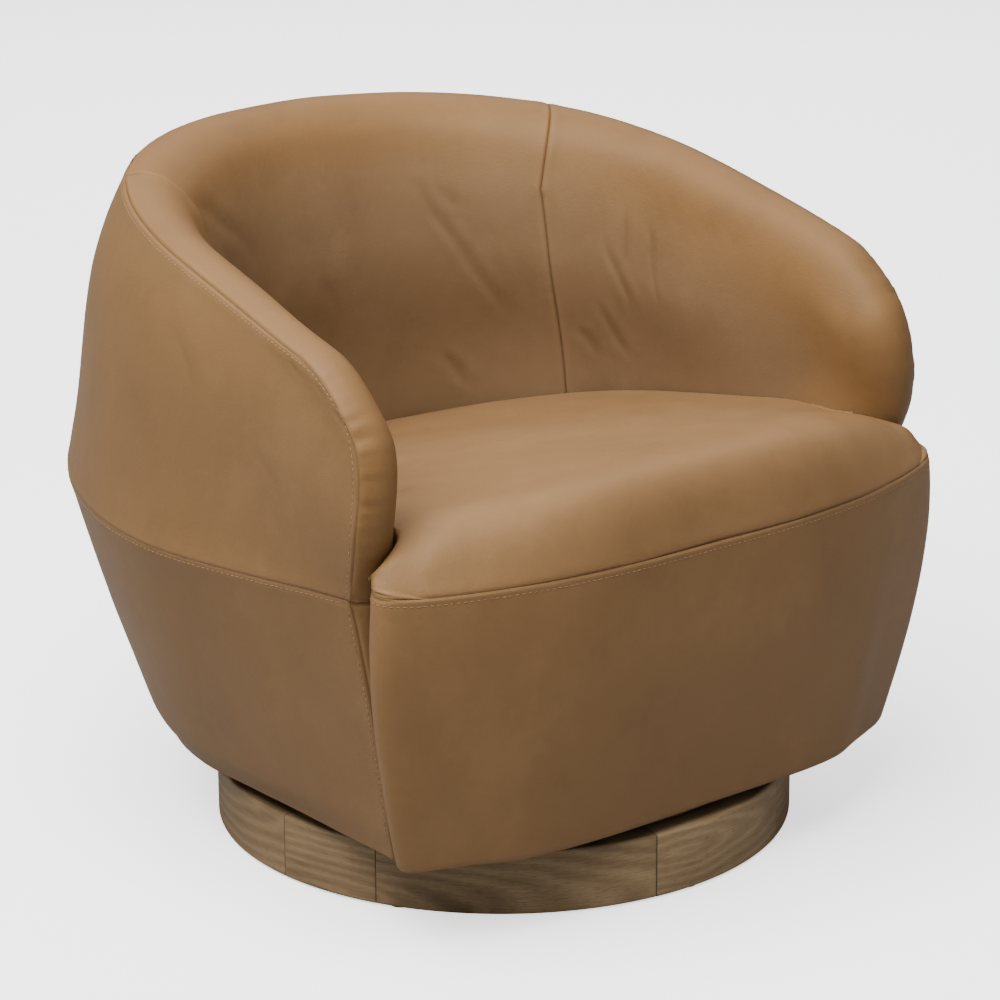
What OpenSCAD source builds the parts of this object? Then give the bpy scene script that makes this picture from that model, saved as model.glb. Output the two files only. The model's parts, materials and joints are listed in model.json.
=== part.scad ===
// Swivel tub chair: a leather-covered barrel body that turns on a round
// wooden plinth. Origin on the swivel axis at floor level, +Z up, the seat
// faces -Y. All sizes in millimetres.

/* [Plinth] */
// Outer radius of the round wooden plinth
plinth_r = 300; // [290:1:310]
// Wall thickness of the plinth ring
plinth_wall = 28; // [22:1:34]
// Height of the plinth's top above the floor
plinth_top = 68; // [66:1:69]
// Thickness of the felt glides under the ring
glide_h = 1.5; // [1:0.5:3]
// Thickness of the round board inside the plinth
plinth_board = 18; // [12:1:22]

/* [Swivel bearing] */
// Ball diameter of the turntable bearing
ball_d = 8; // [7.5:0.5:8]
// Radius of the ball circle
ball_circle = 82.5; // [76:0.5:88]
// Number of balls in the cage
ball_n = 24; // [12:1:28]
// Radial clearance between a ball and its groove
ball_gap = 0.35; // [0.3:0.05:0.5]
// Side of the square swivel plates
plate_w = 230; // [220:2:240]

/* [Barrel outline] */
// Radius of the waist seam round the back
waist_r = 400; // [396:1:404]
// Radius of the bottom edge round the back
foot_r = 303; // [300:1:306]
// Radius of the top seam round the back
top_r = 342; // [340:1:344]
// Height of the bottom edge of the covers
foot_z = 83; // [82:0.5:84]
// Height of the waist seam at the arm fronts
waist_z = 355; // [352:1:358]
// How much higher the waist seam is at the back
waist_rise = 14; // [0:1:20]
// Height of the top seam at the middle of the back
top_z = 680; // [676:1:684]
// How far the top seam drops towards the arm fronts
arm_drop = 252; // [248:2:256]

/* [Upholstery] */
// Thickness of the leather covers
cover_t = 2.5; // [2:0.25:3]
// Foam thickness on the inner faces of the back
pad_back = 30; // [24:1:32]
// Foam thickness on the inner faces of the arms
pad_arm = 27; // [22:1:28]
// Height of the seat surface on the swivel axis
seat_z0 = 392; // [388:1:396]
// Fall of the seat surface per millimetre towards the back
seat_fall = 0.17; // [0.15:0.01:0.18]
// Height of the seam between seat top and front panel
seam_z = 371; // [368:1:374]

/* [Frame] */
// Plywood thickness of deck and rails
ply = 18; // [15:1:18]
// Height of the underside of the base deck
deck_z = 86; // [86:0.5:88]
// Wire diameter of the seat springs
wire_d = 4; // [3.5:0.25:4.5]
// Number of seat springs
spring_n = 5; // [3:1:5]

/* [Hidden] */
$fn = 64;
leather = [0.60, 0.44, 0.30];
leather_in = [0.56, 0.41, 0.28];
foam = [0.93, 0.88, 0.66];
timber = [0.78, 0.62, 0.42];
steel = [0.62, 0.64, 0.66];

// ---------- curve helpers ----------
function ss(a, b, x) = let (t = max(0, min(1, (x - a) / (b - a)))) t * t * (3 - 2 * t);
function mixv(a, b, t) = a * (1 - t) + b * t;
function steps(a, b, n) = [for (i = [0:n]) a + (b - a) * i / n];
// value of a list of rows [key, values...] at key t, straight between rows
function row_at(T, t, i = 0) = (i >= len(T) - 2 || t <= T[i + 1][0]) ?
  mixv(T[i], T[i + 1], max(0, min(1, (t - T[i][0]) / (T[i + 1][0] - T[i][0])))) : row_at(T, t, i + 1);

// A C-shaped outline: an arc of radius r round the back, centred at y = c, and a
// straight side that leaves it s degrees past the widest point and runs to y = yf.
// u goes from 0 at the middle of the back to 1 at the arm front.
ub = 0.6;
function out2(u, r, c, s, yf) = let (th = 90 + s, a = min(1, u / ub) * th, f = max(0, (u - ub) / (1 - ub)),
  y1 = c + r * cos(th), L = (y1 - yf) / sin(th))
  [r * sin(a) + cos(th) * L * f, c + r * cos(a) - sin(th) * L * f];
function nrm(u, s) = let (a = min(1, u / ub) * (90 + s)) [sin(a), cos(a), 0];

waist_s = 11.5;  // the waist narrows towards the arm fronts
top_s = -3.4;    // the top seam widens slightly towards them
y_front = -207;
function zseam(y) = top_z - arm_drop * pow(max(0, 400 - y) / 1000, 1.45) - 20 * pow(max(0, -140 - y) / 58, 2);
function W(u) = let (p = out2(u, waist_r, 80, waist_s, y_front)) [p[0], p[1], waist_z + waist_rise * (1 - ss(.28, .58, u)) - 3 * sin(180 * max(0, min(1, (u - .4) / .5)))];
function B(u) = let (p = out2(u, foot_r, 80, 0, y_front)) [p[0], p[1], foot_z];
function S(u) = let (p = out2(u, top_r, 58, top_s, y_front + 3)) [p[0] + 4 * ss(.5, .66, u) - 3 * ss(.85, 1, u), p[1], zseam(p[1])];
// front edge of the arm: it bulges forward between waist and top
// [height, width from the middle, forward bulge]
arm_edge = [[0, 350, 0], [.1, 352.5, 6], [.2, 355, 12.5], [.3, 357, 18.5], [.4, 358, 23], [.5, 357, 25.5], [.6, 355, 26.5], [.7, 353.5, 25.5], [.8, 352.5, 21.5], [.9, 353, 14], [1, 356, 0]];
function E(v) = let (t = row_at(arm_edge, v)) [t[1], y_front + 3 * v - t[2], waist_z + (S(1)[2] - waist_z) * v];

// outer face of the upper panel, d = depth below the surface
function up(u, v, d = 0) = let (p = mixv(W(u), S(u), v), q = mixv(W(1), S(1), v), k = pow(ss(.72, 1, u), 1.5))
  p + (E(v) - q) * k + nrm(u, waist_s) * (15 * sin(180 * pow(v, 1.8)) * (1 - .8 * ss(.62, 1, u)) + sin(180 * v) * (1 - ss(.6, .9, u)) - d);
// outer face of the lower panel, v = 0 at the waist and 1 at the bottom
function lo(u, v, d = 0) = let (n = nrm(u, 0), f = 1 - .85 * ss(.7, 1, u))
  mixv(W(u), B(u) + n * 9 * f, v) + n * f * (4 * sin(180 * v) - 9 * pow(ss(.86, 1, v), 1.6)) - nrm(u, waist_s) * d - [0, 7 * sin(180 * v) * ss(.8, 1, u), 0];

// Section of the roll over the top and front of the arm: [key, inward, outward from the seam line]
sec_back = [[0, 0, 0], [.13, 11, 4.5], [.25, 22, 6], [.38, 34.5, 3.5], [.5, 47, -2], [.63, 60, -13], [.75, 71, -27], [.88, 81, -48], [1, 88, -72]];
sec_arm = [[0, 0, 0], [.13, 10, 6], [.25, 20, 8], [.38, 31, 6], [.5, 42, 1], [.63, 52.5, -9], [.75, 61, -21], [.88, 69, -41], [1, 74, -63]];
sec_front = [[0, 0, 0], [.13, 9, 5], [.25, 19, 8], [.38, 29, 7.5], [.5, 38, 4], [.63, 47, -3.5], [.75, 54, -12], [.88, 59.5, -23.5], [1, 63, -37]];
// d = depth below the surface, growing by g from the seam to the inner edge
function section(s, w, d = 0, g = 0) = let (k1 = ss(.35, .6, s), k2 = ss(.6, 1, s), psi = 70 + 110 * w, dd = d + g * w,
  q = mixv(mixv(row_at(sec_back, w), row_at(sec_arm, w), k1), row_at(sec_front, w), k2))
  [q[1] + cos(psi) * dd, q[2] - sin(psi) * dd];
// point on the seam: s = 0..1 along the top, 1..2 down the arm front
function seam(s) = s <= 1 ? up(s, 1) : up(1, 2 - s);
function unit(v) = v / norm(v);
// length along the seam in mm for s and back, for a pitch taken over 90 mm of it
function seam_mm(s) = s < 1 ? 790 * s : 790 + 200 * (s - 1);
function seam_s(g) = g < 790 ? max(0, g) / 790 : min(2, 1 + (g - 790) / 200);
function roll(s, w, d = 0, g = 0) = let (m = seam_mm(s), T = unit(seam(seam_s(m + 45)) - seam(seam_s(m - 45))), N = nrm(min(s, 1), top_s),
  M0 = unit(cross(N, T)), M = (s < .9 ? M0[2] : M0[2] - M0[1]) < 0 ? -M0 : M0, q = section(s, w, d, g))
  seam(s) - N * q[0] + M * q[1];
// lower line of the inner faces, hidden below the seat
inner_z = 320;
function I0(u, d = 0) = let (p = out2(u, 286, 60, 0, -190), n = nrm(u, 0), f = 50 - 24 * ss(0, .38, u) - 26 * ss(.36, .62, u) - d)
  [p[0] - n[0] * f, p[1] - n[1] * f, inner_z];
// inner face of back and arm: v = 0 low, 1 at the roll
function inn(u, v, d = 0, g = 0) = let (p = mixv(I0(u, d + g), roll(u, 1, d, g), v),
  q = mixv(I0(1, d + g), roll(1, 1, d, g), v), k = pow(ss(.72, 1, u), 1.5), t = max(0, min(1, (v - .2) / .8)))
  p + (roll(2 - v, 1, d, g) - q) * k - nrm(u, 0) * (11 * sin(180 * t) * ss(0, .7, t) * (1 - ss(.55, .95, u)));

// seat top surface
function seat_g(x, y) = min(1, pow(abs(x) / 360, 2.9) * (1 - ss(-190, -60, y)) + pow(max(0, -215 - y) / 115, 2.2));
function seat_p(x, y) = seat_z0 - seat_fall * y + 8 * (1 - min(1, pow(x / 292, 2))) - 15 * pow(max(0, y - 100) / 200, 2);
function seat_top(x, y) = let (p = seat_p(x, y)) p - (p - seam_z) * pow(seat_g(x, y), 2.6);
// plan of the front block at the seam and at the bottom, a = -1..1 from ear to ear
block_top = [[0, 0, -330], [.11, 60, -330], [.22, 120, -328], [.35, 190, -320], [.45, 240, -309], [.55, 286, -295], [.65, 323, -280], [.75, 347, -266], [.84, 354, -252], [.92, 349, -239], [1, 338, -231]];
block_foot = [[0, 0, -297], [.11, 52, -297], [.22, 105, -297], [.35, 165, -294], [.45, 209, -287], [.55, 247, -271], [.65, 280, -258], [.75, 304, -248], [.84, 316, -238], [.92, 315, -226], [1, 304, -218]];
function side(a, p) = [a < 0 ? -p[1] : p[1], p[2]];
function block(a, v, d = 0) = let (p = side(a, row_at(block_top, abs(a))), q = side(a, row_at(block_foot, abs(a))),
  o = mixv(p, q, v), n = unit(o - [0, -100]), r = o + n * ((10 + 8 * ss(.5, .85, abs(a))) * sin(180 * pow(v, .8)) - d)) [r[0], r[1], mixv(seam_z + 3 * ss(.6, .9, abs(a)), foot_z, v)];

// ---------- solids from grids ----------
function flat(A) = [for (r = A) for (p = r) p];
// closed solid between two grids of points of the same size
module slab(A, C) {
  n = len(A); m = len(A[0]); o = n * m;
  function id(i, j) = i * m + j;
  polyhedron(points = concat(flat(A), flat(C)), faces = concat(
    [for (i = [0:n - 2], j = [0:m - 2]) each [[id(i, j), id(i + 1, j), id(i + 1, j + 1)], [id(i, j), id(i + 1, j + 1), id(i, j + 1)]]],
    [for (i = [0:n - 2], j = [0:m - 2]) each [[o + id(i, j), o + id(i + 1, j + 1), o + id(i + 1, j)], [o + id(i, j), o + id(i, j + 1), o + id(i + 1, j + 1)]]],
    [for (i = [0:n - 2]) each [[id(i, 0), o + id(i, 0), o + id(i + 1, 0)], [id(i, 0), o + id(i + 1, 0), id(i + 1, 0)]]],
    [for (i = [0:n - 2]) each [[id(i, m - 1), o + id(i + 1, m - 1), o + id(i, m - 1)], [id(i, m - 1), id(i + 1, m - 1), o + id(i + 1, m - 1)]]],
    [for (j = [0:m - 2]) each [[id(0, j), o + id(0, j + 1), o + id(0, j)], [id(0, j), id(0, j + 1), o + id(0, j + 1)]]],
    [for (j = [0:m - 2]) each [[id(n - 1, j), o + id(n - 1, j), o + id(n - 1, j + 1)], [id(n - 1, j), o + id(n - 1, j + 1), id(n - 1, j + 1)]]]));
}
function mx(p, side) = [p[0] * side, p[1], p[2]];
// u may be negative on the left half
function upx(u, v, d) = mx(up(abs(u), v, d), u < 0 ? -1 : 1);
function lox(u, v, d) = mx(lo(abs(u), v, d), u < 0 ? -1 : 1);
function rollx(u, w, d, g) = mx(roll(abs(u), w, d, g), u < 0 ? -1 : 1);
function innx(u, v, d, g) = mx(inn(abs(u), v, d, g), u < 0 ? -1 : 1);
module right() { children(); }
module left() { mirror([1, 0, 0]) children(); }

split = .30;    // u of the seams between side and back outer panels
v_up = [0.003, .15, .32, .5, .68, .84, .93, .992];
v_lo = [0.003, .25, .5, .75, .88, .94, 1];
w_all = [.045, .13, .25, .38, .5, .63, .75, .88, 1];
v_inn = [.92, .84, .75, .65, .55, .45, .35, .25, .14, .03];
module upper_panel(us) slab([for (u = us) [for (v = v_up) upx(u, v, 0)]], [for (u = us) [for (v = v_up) upx(u, v, cover_t + 1)]]);
module lower_panel(us) slab([for (u = us) [for (v = v_lo) lox(u, v, 0)]], [for (u = us) [for (v = v_lo) lox(u, v, cover_t + 1)]]);
// place of the seams between the inner panels, q = 0 at the top seam and 1 at the lower edge
function seam_u(q) = .367 + .06 * (1 - pow(1 - q, 4));
function pu(t, q, arm) = arm ? mix1(seam_u(q), 1, t) : t * seam_u(q);
function inner_row(t, d, g, ws, arm) = concat([for (w = ws) rollx(pu(t, .28 * w, arm), w, d, g)],
  [for (v = v_inn) innx(pu(t, 1 - .72 * v, arm), v, d, g)]);
// one skin or pad over the roll and down the inner face, between depths [d0, g0] and [d1, g1];
// t = -1..1 across the back, or 0..1 from the seam to the arm front
module inner_panel(ts, d0, g0, d1, g1, ws = w_all, arm = false)
  slab([for (t = ts) inner_row(t, d0, g0, ws, arm)], [for (t = ts) inner_row(t, d1, g1, ws, arm)]);
module front_roll(ks, d0, g0, d1, g1, ws = w_all) slab([for (k = ks) [for (w = ws) roll(k, w, d0, g0)]], [for (k = ks) [for (w = ws) roll(k, w, d1, g1)]]);

// ---------- plinth ----------
// angles of the joints between the staves, from +X
stave_joints = [-176, -154, -99, -61, -20, 20, 58, 100, 142];
module plinth_staves() color([0.45, 0.36, 0.27]) for (i = [0:len(stave_joints) - 1])
  let (a = stave_joints[i], b = i == len(stave_joints) - 1 ? stave_joints[0] + 360 : stave_joints[i + 1], r = plinth_r, w = plinth_wall)
  rotate(a + .03) rotate_extrude(angle = b - a - .06, $fn = 180)
    polygon([[r - w, glide_h], [r - 1.5, glide_h], [r, glide_h + 1.5], [r, plinth_top - 2], [r - 2, plinth_top], [r - w, plinth_top]]);
module plinth_board() color(timber) translate([0, 0, plinth_top - plinth_board]) difference() {
  cylinder(r = plinth_r - plinth_wall - 0.3, h = plinth_board, $fn = 180);
  for (a = [0:5]) rotate(60 * a + 30) translate([100, 0, -1]) cylinder(r = 2.25, h = plinth_board + 2);
}
module plinth_blocks() color(timber) for (a = [0:5]) rotate(60 * a)
  translate([plinth_r - plinth_wall - 31.5, -25, plinth_top - plinth_board - 32.3]) cube([30, 50, 32]);
module plinth_glides() color([0.25, 0.24, 0.23]) for (a = [0:5]) rotate(60 * a + 30)
  translate([plinth_r - plinth_wall / 2, 0, 0]) cylinder(r = 11, h = glide_h);

// ---------- swivel bearing ----------
zb = plinth_top + 9;   // height of the ball centres
module groove(z) translate([0, 0, z]) rotate_extrude($fn = 128) translate([ball_circle, 0]) circle(r = ball_d / 2 + ball_gap, $fn = 48);
module swivel_base_plate() color(steel) difference() {
  union() {
    translate([-plate_w / 2, -plate_w / 2, plinth_top]) cube([plate_w, plate_w, 3]);
    translate([0, 0, plinth_top + 2]) cylinder(r = ball_circle + 9, h = 5.5, $fn = 128);
  }
  translate([0, 0, plinth_top + 3]) cylinder(r = ball_circle - 9, h = 10, $fn = 128);
  groove(zb);
  translate([0, 0, plinth_top - 1]) cylinder(r = 8, h = 10);
  for (a = [0:5]) rotate(60 * a + 30) translate([100, 0, plinth_top - 1]) cylinder(r = 2.7, h = 8);
}
module base_plate_screws() color(steel) for (a = [0:5]) rotate(60 * a + 30) translate([100, 0, plinth_top]) {
  translate([0, 0, 3]) cylinder(r = 4.5, h = 2.2);
  translate([0, 0, -16]) cylinder(r = 2.2, h = 19.5);
}
module pivot_bolt() color(steel) {
  translate([0, 0, plinth_top]) cylinder(r = 8, h = 34);
  translate([0, 0, plinth_top + 3]) cylinder(r = 13, h = 5);
}
module pivot_washer() color(steel) translate([0, 0, plinth_top + 21]) difference() {
  cylinder(r = 17, h = 2.5);
  translate([0, 0, -1]) cylinder(r = 8.2, h = 5);
}
module pivot_nut() color(steel) translate([0, 0, plinth_top + 23.5]) difference() {
  cylinder(r = 13.8, h = 8, $fn = 6);
  translate([0, 0, -1]) cylinder(r = 8.1, h = 10);
}
module ball_cage() color([0.85, 0.83, 0.76]) difference() {
  translate([0, 0, zb - 1.1]) cylinder(r = ball_circle + 8, h = 2.2, $fn = 128);
  translate([0, 0, zb - 3]) cylinder(r = ball_circle - 8, h = 6, $fn = 128);
  for (i = [0:ball_n - 1]) rotate(i * 360 / ball_n) translate([ball_circle, 0, zb - 3]) cylinder(r = ball_d / 2 + 0.2, h = 6, $fn = 32);
}
module bearing_balls() color([0.8, 0.81, 0.83]) for (i = [0:ball_n - 1]) rotate(i * 360 / ball_n)
  translate([ball_circle, 0, zb]) sphere(r = ball_d / 2, $fn = 32);

bolt_xy = 92;   // half spacing of the bolts of the top plate
module bolts_at() for (x = [-1, 1], y = [-1, 1]) translate([x * bolt_xy, y * bolt_xy, 0]) children();
module swivel_top_plate() color(steel) difference() {
  union() {
    translate([-plate_w / 2, -plate_w / 2, deck_z - 3]) cube([plate_w, plate_w, 3]);
    translate([0, 0, deck_z - 7.5]) cylinder(r = ball_circle + 9, h = 5.5, $fn = 128);
  }
  translate([0, 0, deck_z - 13]) cylinder(r = ball_circle - 9, h = 10, $fn = 128);
  groove(zb);
  translate([0, 0, deck_z - 10]) cylinder(r = 12, h = 20);
  bolts_at() translate([0, 0, deck_z - 10]) cylinder(r = 4.3, h = 20);
}
module pivot_bushing() color([0.2, 0.2, 0.2]) translate([0, 0, deck_z - 7]) difference() {
  union() { cylinder(r = 11.9, h = 9); translate([0, 0, 7]) cylinder(r = 16, h = 2); cylinder(r = 14.5, h = 4); }
  translate([0, 0, -1]) cylinder(r = 8.3, h = 12);
}
module top_plate_bolts() color(steel) bolts_at() {
  translate([0, 0, deck_z - 3 - 4.5]) cylinder(r = 7, h = 4.5);
  translate([0, 0, deck_z - 3]) cylinder(r = 4, h = 19);
}
module tee_nuts() color(steel) bolts_at() translate([0, 0, deck_z]) difference() {
  union() { translate([0, 0, 6]) cylinder(r = 5.2, h = ply - 6); translate([0, 0, ply]) cylinder(r = 10, h = 1.6); }
  translate([0, 0, -1]) cylinder(r = 4.05, h = 30);
}

// ---------- frame of the body ----------
// plan outline of the body's foot, set in by i
function foot_plan(i) = concat(
  [for (u = steps(-.96, .96, 44)) let (p = lo(abs(u), 1, i)) [(u < 0 ? -1 : 1) * p[0], p[1]]],
  [for (a = steps(1, -1, 28)) let (p = block(a * .8, 1, i)) [p[0], p[1]]]);
module base_deck() color(timber) difference() {
  translate([0, 0, deck_z]) linear_extrude(ply) polygon(foot_plan(9));
  translate([0, 0, deck_z - 1]) cylinder(r = 24, h = ply + 2);
  bolts_at() translate([0, 0, deck_z - 1]) cylinder(r = 5.25, h = ply + 2);
  screws_at() screw_shape(.05);
  // notches for the strips that face the front edges of the sides
  for (x = [-1, 1]) translate([x * 280 - 42, -219, deck_z - 1]) cube([84, 28, ply + 2]);
}
module screws_at() for (x = [-1, 1], y = [-200, -60, 80, 220]) translate([x * 135, y, deck_z]) children();
module screw_shape(c) {
  cylinder(r = 2.2 + c, h = 38 + c);
  translate([0, 0, -c]) cylinder(r = 4.4 + c, h = 2.4 + 2 * c);
}
module cross_rails() color(timber) difference() {
  for (x = [-1, 1]) translate([x * 135 - 20, -240, deck_z + ply]) cube([40, 480, 30]);
  screws_at() screw_shape(.05);
}
module deck_screws() color(steel) screws_at() screw_shape(0);
rib_z0 = deck_z + ply;
rail_z = 334;   // underside of the waist rail
module plate_rz(P, t) rotate([90, 0, 90]) translate([0, 0, -t / 2]) linear_extrude(t) polygon(P);
module lower_ribs() color(timber) for (a = [-72, -36, 0, 36, 72]) translate([0, 80, 0]) rotate(-a)
  plate_rz([[236, rib_z0], [284, rib_z0], [372, rail_z], [300, rail_z], [300, 260]], 18);
module front_posts() color(timber) for (x = [-1, 1], y = [-140, 20]) translate([0, y, 0]) rotate(x * -90)
  plate_rz([[240, rib_z0], [282, rib_z0], [y < 0 ? 340 : 362, rail_z], [322, rail_z], [322, 300]], 20);
module waist_rail() color(timber) translate([0, 0, rail_z]) linear_extrude(ply) polygon(concat(
  [for (u = steps(-.97, .97, 48)) let (p = out2(abs(u), waist_r - 14, 80, waist_s, -196)) [(u < 0 ? -1 : 1) * p[0], p[1]]],
  [for (u = steps(.97, -.97, 40)) let (p = out2(abs(u), 322, 60, 0, -196)) [(u < 0 ? -1 : 1) * p[0], p[1]]]));
top_rail_z = 616;
module top_rail() color(timber) translate([0, 58, top_rail_z]) rotate(33) rotate_extrude(angle = 114, $fn = 128) translate([301, 0]) square([26, ply]);
module upper_ribs() color(timber) for (a = [-54, -27, 0, 27, 54]) translate([0, 80, 0]) rotate(-a)
  plate_rz([[330, rail_z + ply], [374, rail_z + ply], [abs(a) > 40 ? 326 : 316, top_rail_z], [abs(a) > 40 ? 294 : 286, top_rail_z]], 16);
module arm_board() translate([330, 0, 0]) rotate([90, 0, 90]) linear_extrude(13) polygon(concat(
  [[96, rail_z + ply], [-180, rail_z + ply], [-188, 400], [-198, 440], [-200, 475], [-190, 496], [-174, 512]],
  [for (y = steps(-150, 96, 8)) [y, zseam(y) - 32]]));
module arm_board_right() color(timber) arm_board();
module arm_board_left() color(timber) left() arm_board();
tilt = atan(seat_fall);
sp_z = 312;            // height of the spring wires on the swivel axis
sp_pitch = 24; sp_half = 18; sp_n = 20; sp_front = -252;
sp_back = sp_front + sp_n * sp_pitch;
function wire_y(t) = t * cos(tilt);
function wire_z(t) = sp_z - t * sin(tilt);
yf = wire_y(sp_front); yb = wire_y(sp_back);   // middle of the front and back rails
front_rail_top = wire_z(sp_front) - 4.7;
back_rail_top = wire_z(sp_back) - 4.7;
module seat_posts() color(timber) for (x = [-1, 1]) {
  translate([x * 200 - 20, yf - 13, rib_z0]) cube([40, 26, front_rail_top - 80 - rib_z0]);
  translate([x * 180 - 20, yb - 13, rib_z0]) cube([40, 26, back_rail_top - 50 - rib_z0]);
}
module front_rail() color(timber) translate([-262, yf - 13, front_rail_top - 80]) cube([524, 26, 80]);
module back_rail() color(timber) translate([-205, yb - 13, back_rail_top - 50]) cube([410, 26, 50]);
module side_rails() color(timber) for (x = [-1, 1]) translate([x * 235 - 11, 0, 0]) rotate([90, 0, 90])
  linear_extrude(22) polygon([[yf + 13, front_rail_top - 66], [yf + 13, front_rail_top - 6], [yb + 13, back_rail_top - 2], [yb + 13, back_rail_top - 50]]);
// one zigzag spring along +Y in its own plane: straight cross wires joined by half rings
module zigzag() for (i = [0:sp_n]) translate([0, i * sp_pitch, 0]) {
  translate([-sp_half, 0, 0]) rotate([0, 90, 0]) cylinder(d = wire_d, h = 2 * sp_half, $fn = 16);
  if (i < sp_n) translate([(i % 2 == 0 ? 1 : -1) * sp_half, sp_pitch / 2, 0])
    rotate(i % 2 == 0 ? -90 : 90) rotate_extrude(angle = 180, $fn = 32) translate([sp_pitch / 2, 0]) circle(d = wire_d, $fn = 16);
}
function spring_x(i) = (i - (spring_n - 1) / 2) * 88;
module spring_plane() translate([0, 0, sp_z]) rotate([-tilt, 0, 0]) children();
module seat_springs() color(steel) spring_plane() for (i = [0:spring_n - 1]) translate([spring_x(i), sp_front, 0]) zigzag();
module spring_clips() color(steel) for (i = [0:spring_n - 1], t = [sp_front, sp_back])
  translate([spring_x(i) - 10, wire_y(t), wire_z(t)]) difference() {
    translate([0, -8, -4.7]) cube([20, 16, 9]);
    translate([-1, 0, 0]) rotate([0, 90, 0]) cylinder(d = wire_d + .7, h = 22, $fn = 24);
  }
module spring_cloth() color([0.2, 0.2, 0.2]) spring_plane() translate([-214, -232, 3]) cube([428, 440, 2]);

// ---------- foam and covers of the seat ----------
// height of the foam's underside
function foam_under(y) = y < -290 ? 354 : sp_z - y * seat_fall + 13;
// line where the seat meets the inner faces: height found by halving the interval
function meet_v(u, lo, hi, n) = let (m = (lo + hi) / 2, p = inn(u, m)) n == 0 ? m :
  p[2] > seat_top(p[0], p[1]) ? meet_v(u, lo, m, n - 1) : meet_v(u, m, hi, n - 1);
ear = .6;   // beyond this the seat edge runs round the front of the arm
meet_end = .27;
function meet(a, d) = a <= ear ? let (u = pow(a / ear, .93)) inn(u, meet_v(u, 0, 1, 11), -d, 0) :
  let (w = mix1(1, .06, (a - ear) / (1 - ear)), v = mix1(.12, meet_end, pow(w, .8))) roll(2 - v, w, -d, 0);
seat_f = [0, .04, .1, .2, .34, .5, .66, .8, .92, 1];
seat_half = concat([for (i = [1:8]) i / 14], [.6, .625, .6429, .68, .7143, .75, .7857, .82, .8571, .89, .9286, .96, .985]);
seat_a = concat([for (i = [len(seat_half) - 1:-1:0]) -seat_half[i]], [0], seat_half);
// one line of the seat surface from the front seam to the inner faces: a from ear to ear, d = depth
function seat_line(a, d) = let (b = block(abs(a) - .055 * sin(180 * max(0, min(1, (abs(a) - .36) / .44))), 0, d), k = meet(abs(a), d + mix1(1.8, 3, ss(.45, .6, abs(a)))), g = b[2] - seat_top(b[0], b[1]), h = k[2] - seat_top(k[0], k[1]))
  [for (f = seat_f) let (x = mix1(b[0], k[0], f), y = mix1(b[1], k[1], f))
    [(a < 0 ? -1 : 1) * x, y, seat_top(x, y) + g * (1 - ss(0, .25, f)) + h * ss(.7, 1, f) - d]];
function seat_grid(d, end = 1) = [for (a = seat_a) if (abs(a) < end) seat_line(a, d)];
function mix1(a, b, t) = a * (1 - t) + b * t;
function under(p) = [p[0] * .975, p[1] > 150 ? p[1] - 4 : p[1], min(p[2] - 6, foam_under(p[1]))];
module seat_cover() color(leather) { G = seat_grid(0, .91); slab(G, [for (r = G) [for (p = r) [p[0], p[1], p[2] - cover_t]]]); }
module seat_foam() color(foam) { G = seat_grid(cover_t + 1.9, .9); slab(G, [for (r = G) [for (p = r) under(p)]]); }

blk_v = [.075, .18, .36, .55, .75, .92];
function blk_a(cut) = [for (i = [cut:28 - cut]) i / 14 - 1];
module block_skin(d0, d1, as, vs) slab([for (a = as) [for (v = vs) block(a, v, d0)]], [for (a = as) [for (v = vs) block(a, v, d1)]]);
module front_cover() color(leather) block_skin(0, cover_t, concat([-1], seat_a, [1]), concat([.012], blk_v, [1]));
module front_foam() color(foam) block_skin(cover_t + .8, 16, blk_a(1), blk_v);
module front_board() color(timber) block_skin(17, 22, blk_a(2), blk_v);

// ---------- foam and covers of back and arms ----------
us_back = steps(-.9985, .9985, 16);
us_arm = concat(steps(.0012, .5, 7), [.6, .7, .81, .866, .921, .96, 1]);
us_arm_foam = concat(steps(.0012, .5, 7), [.6, .7, .81, .866, .921]);
w_foam = [.07, .13, .25, .38, .5, .63, .75, .88, 1];
w_front_foam = [.07, .13, .25, .38, .5, .63, .75, .88];
module inner_back_cover() color(leather_in) inner_panel(us_back, 0, 0, cover_t, 0);
module back_foam() color(foam) inner_panel(us_back, cover_t + .5, 0, 11, pad_back - 11, w_foam);
// one hide runs from the inner face over the arm and round its front
module arm_cover() {
  inner_panel(us_arm, 0, 0, cover_t, 0, w_all, true);
  front_roll(concat([1], [for (v = v_inn) 2 - v]), 0, 0, cover_t, 0);
}
module inner_cover_right() color(leather_in) arm_cover();
module inner_cover_left() color(leather_in) left() arm_cover();
module arm_foam() inner_panel(us_arm_foam, cover_t + .5, 0, 10, pad_arm - 10, w_foam, true);
module arm_foam_right() color(foam) arm_foam();
module arm_foam_left() color(foam) left() arm_foam();
module arm_front_foam() front_roll([for (v = v_inn) if (v > .1 && v < .9) 2 - v], cover_t + .5, 0, 9, 6, w_front_foam);
module arm_front_foam_right() color(foam) arm_front_foam();
module arm_front_foam_left() color(foam) left() arm_front_foam();
module side_facing() translate([0, -193, 0]) rotate([90, 0, 0]) linear_extrude(7) polygon([[246, 86.3], [296, 86.3], [342, 333], [300, 333]]);
module side_facing_right() color(leather_in) side_facing();
module side_facing_left() color(leather_in) left() side_facing();

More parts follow.
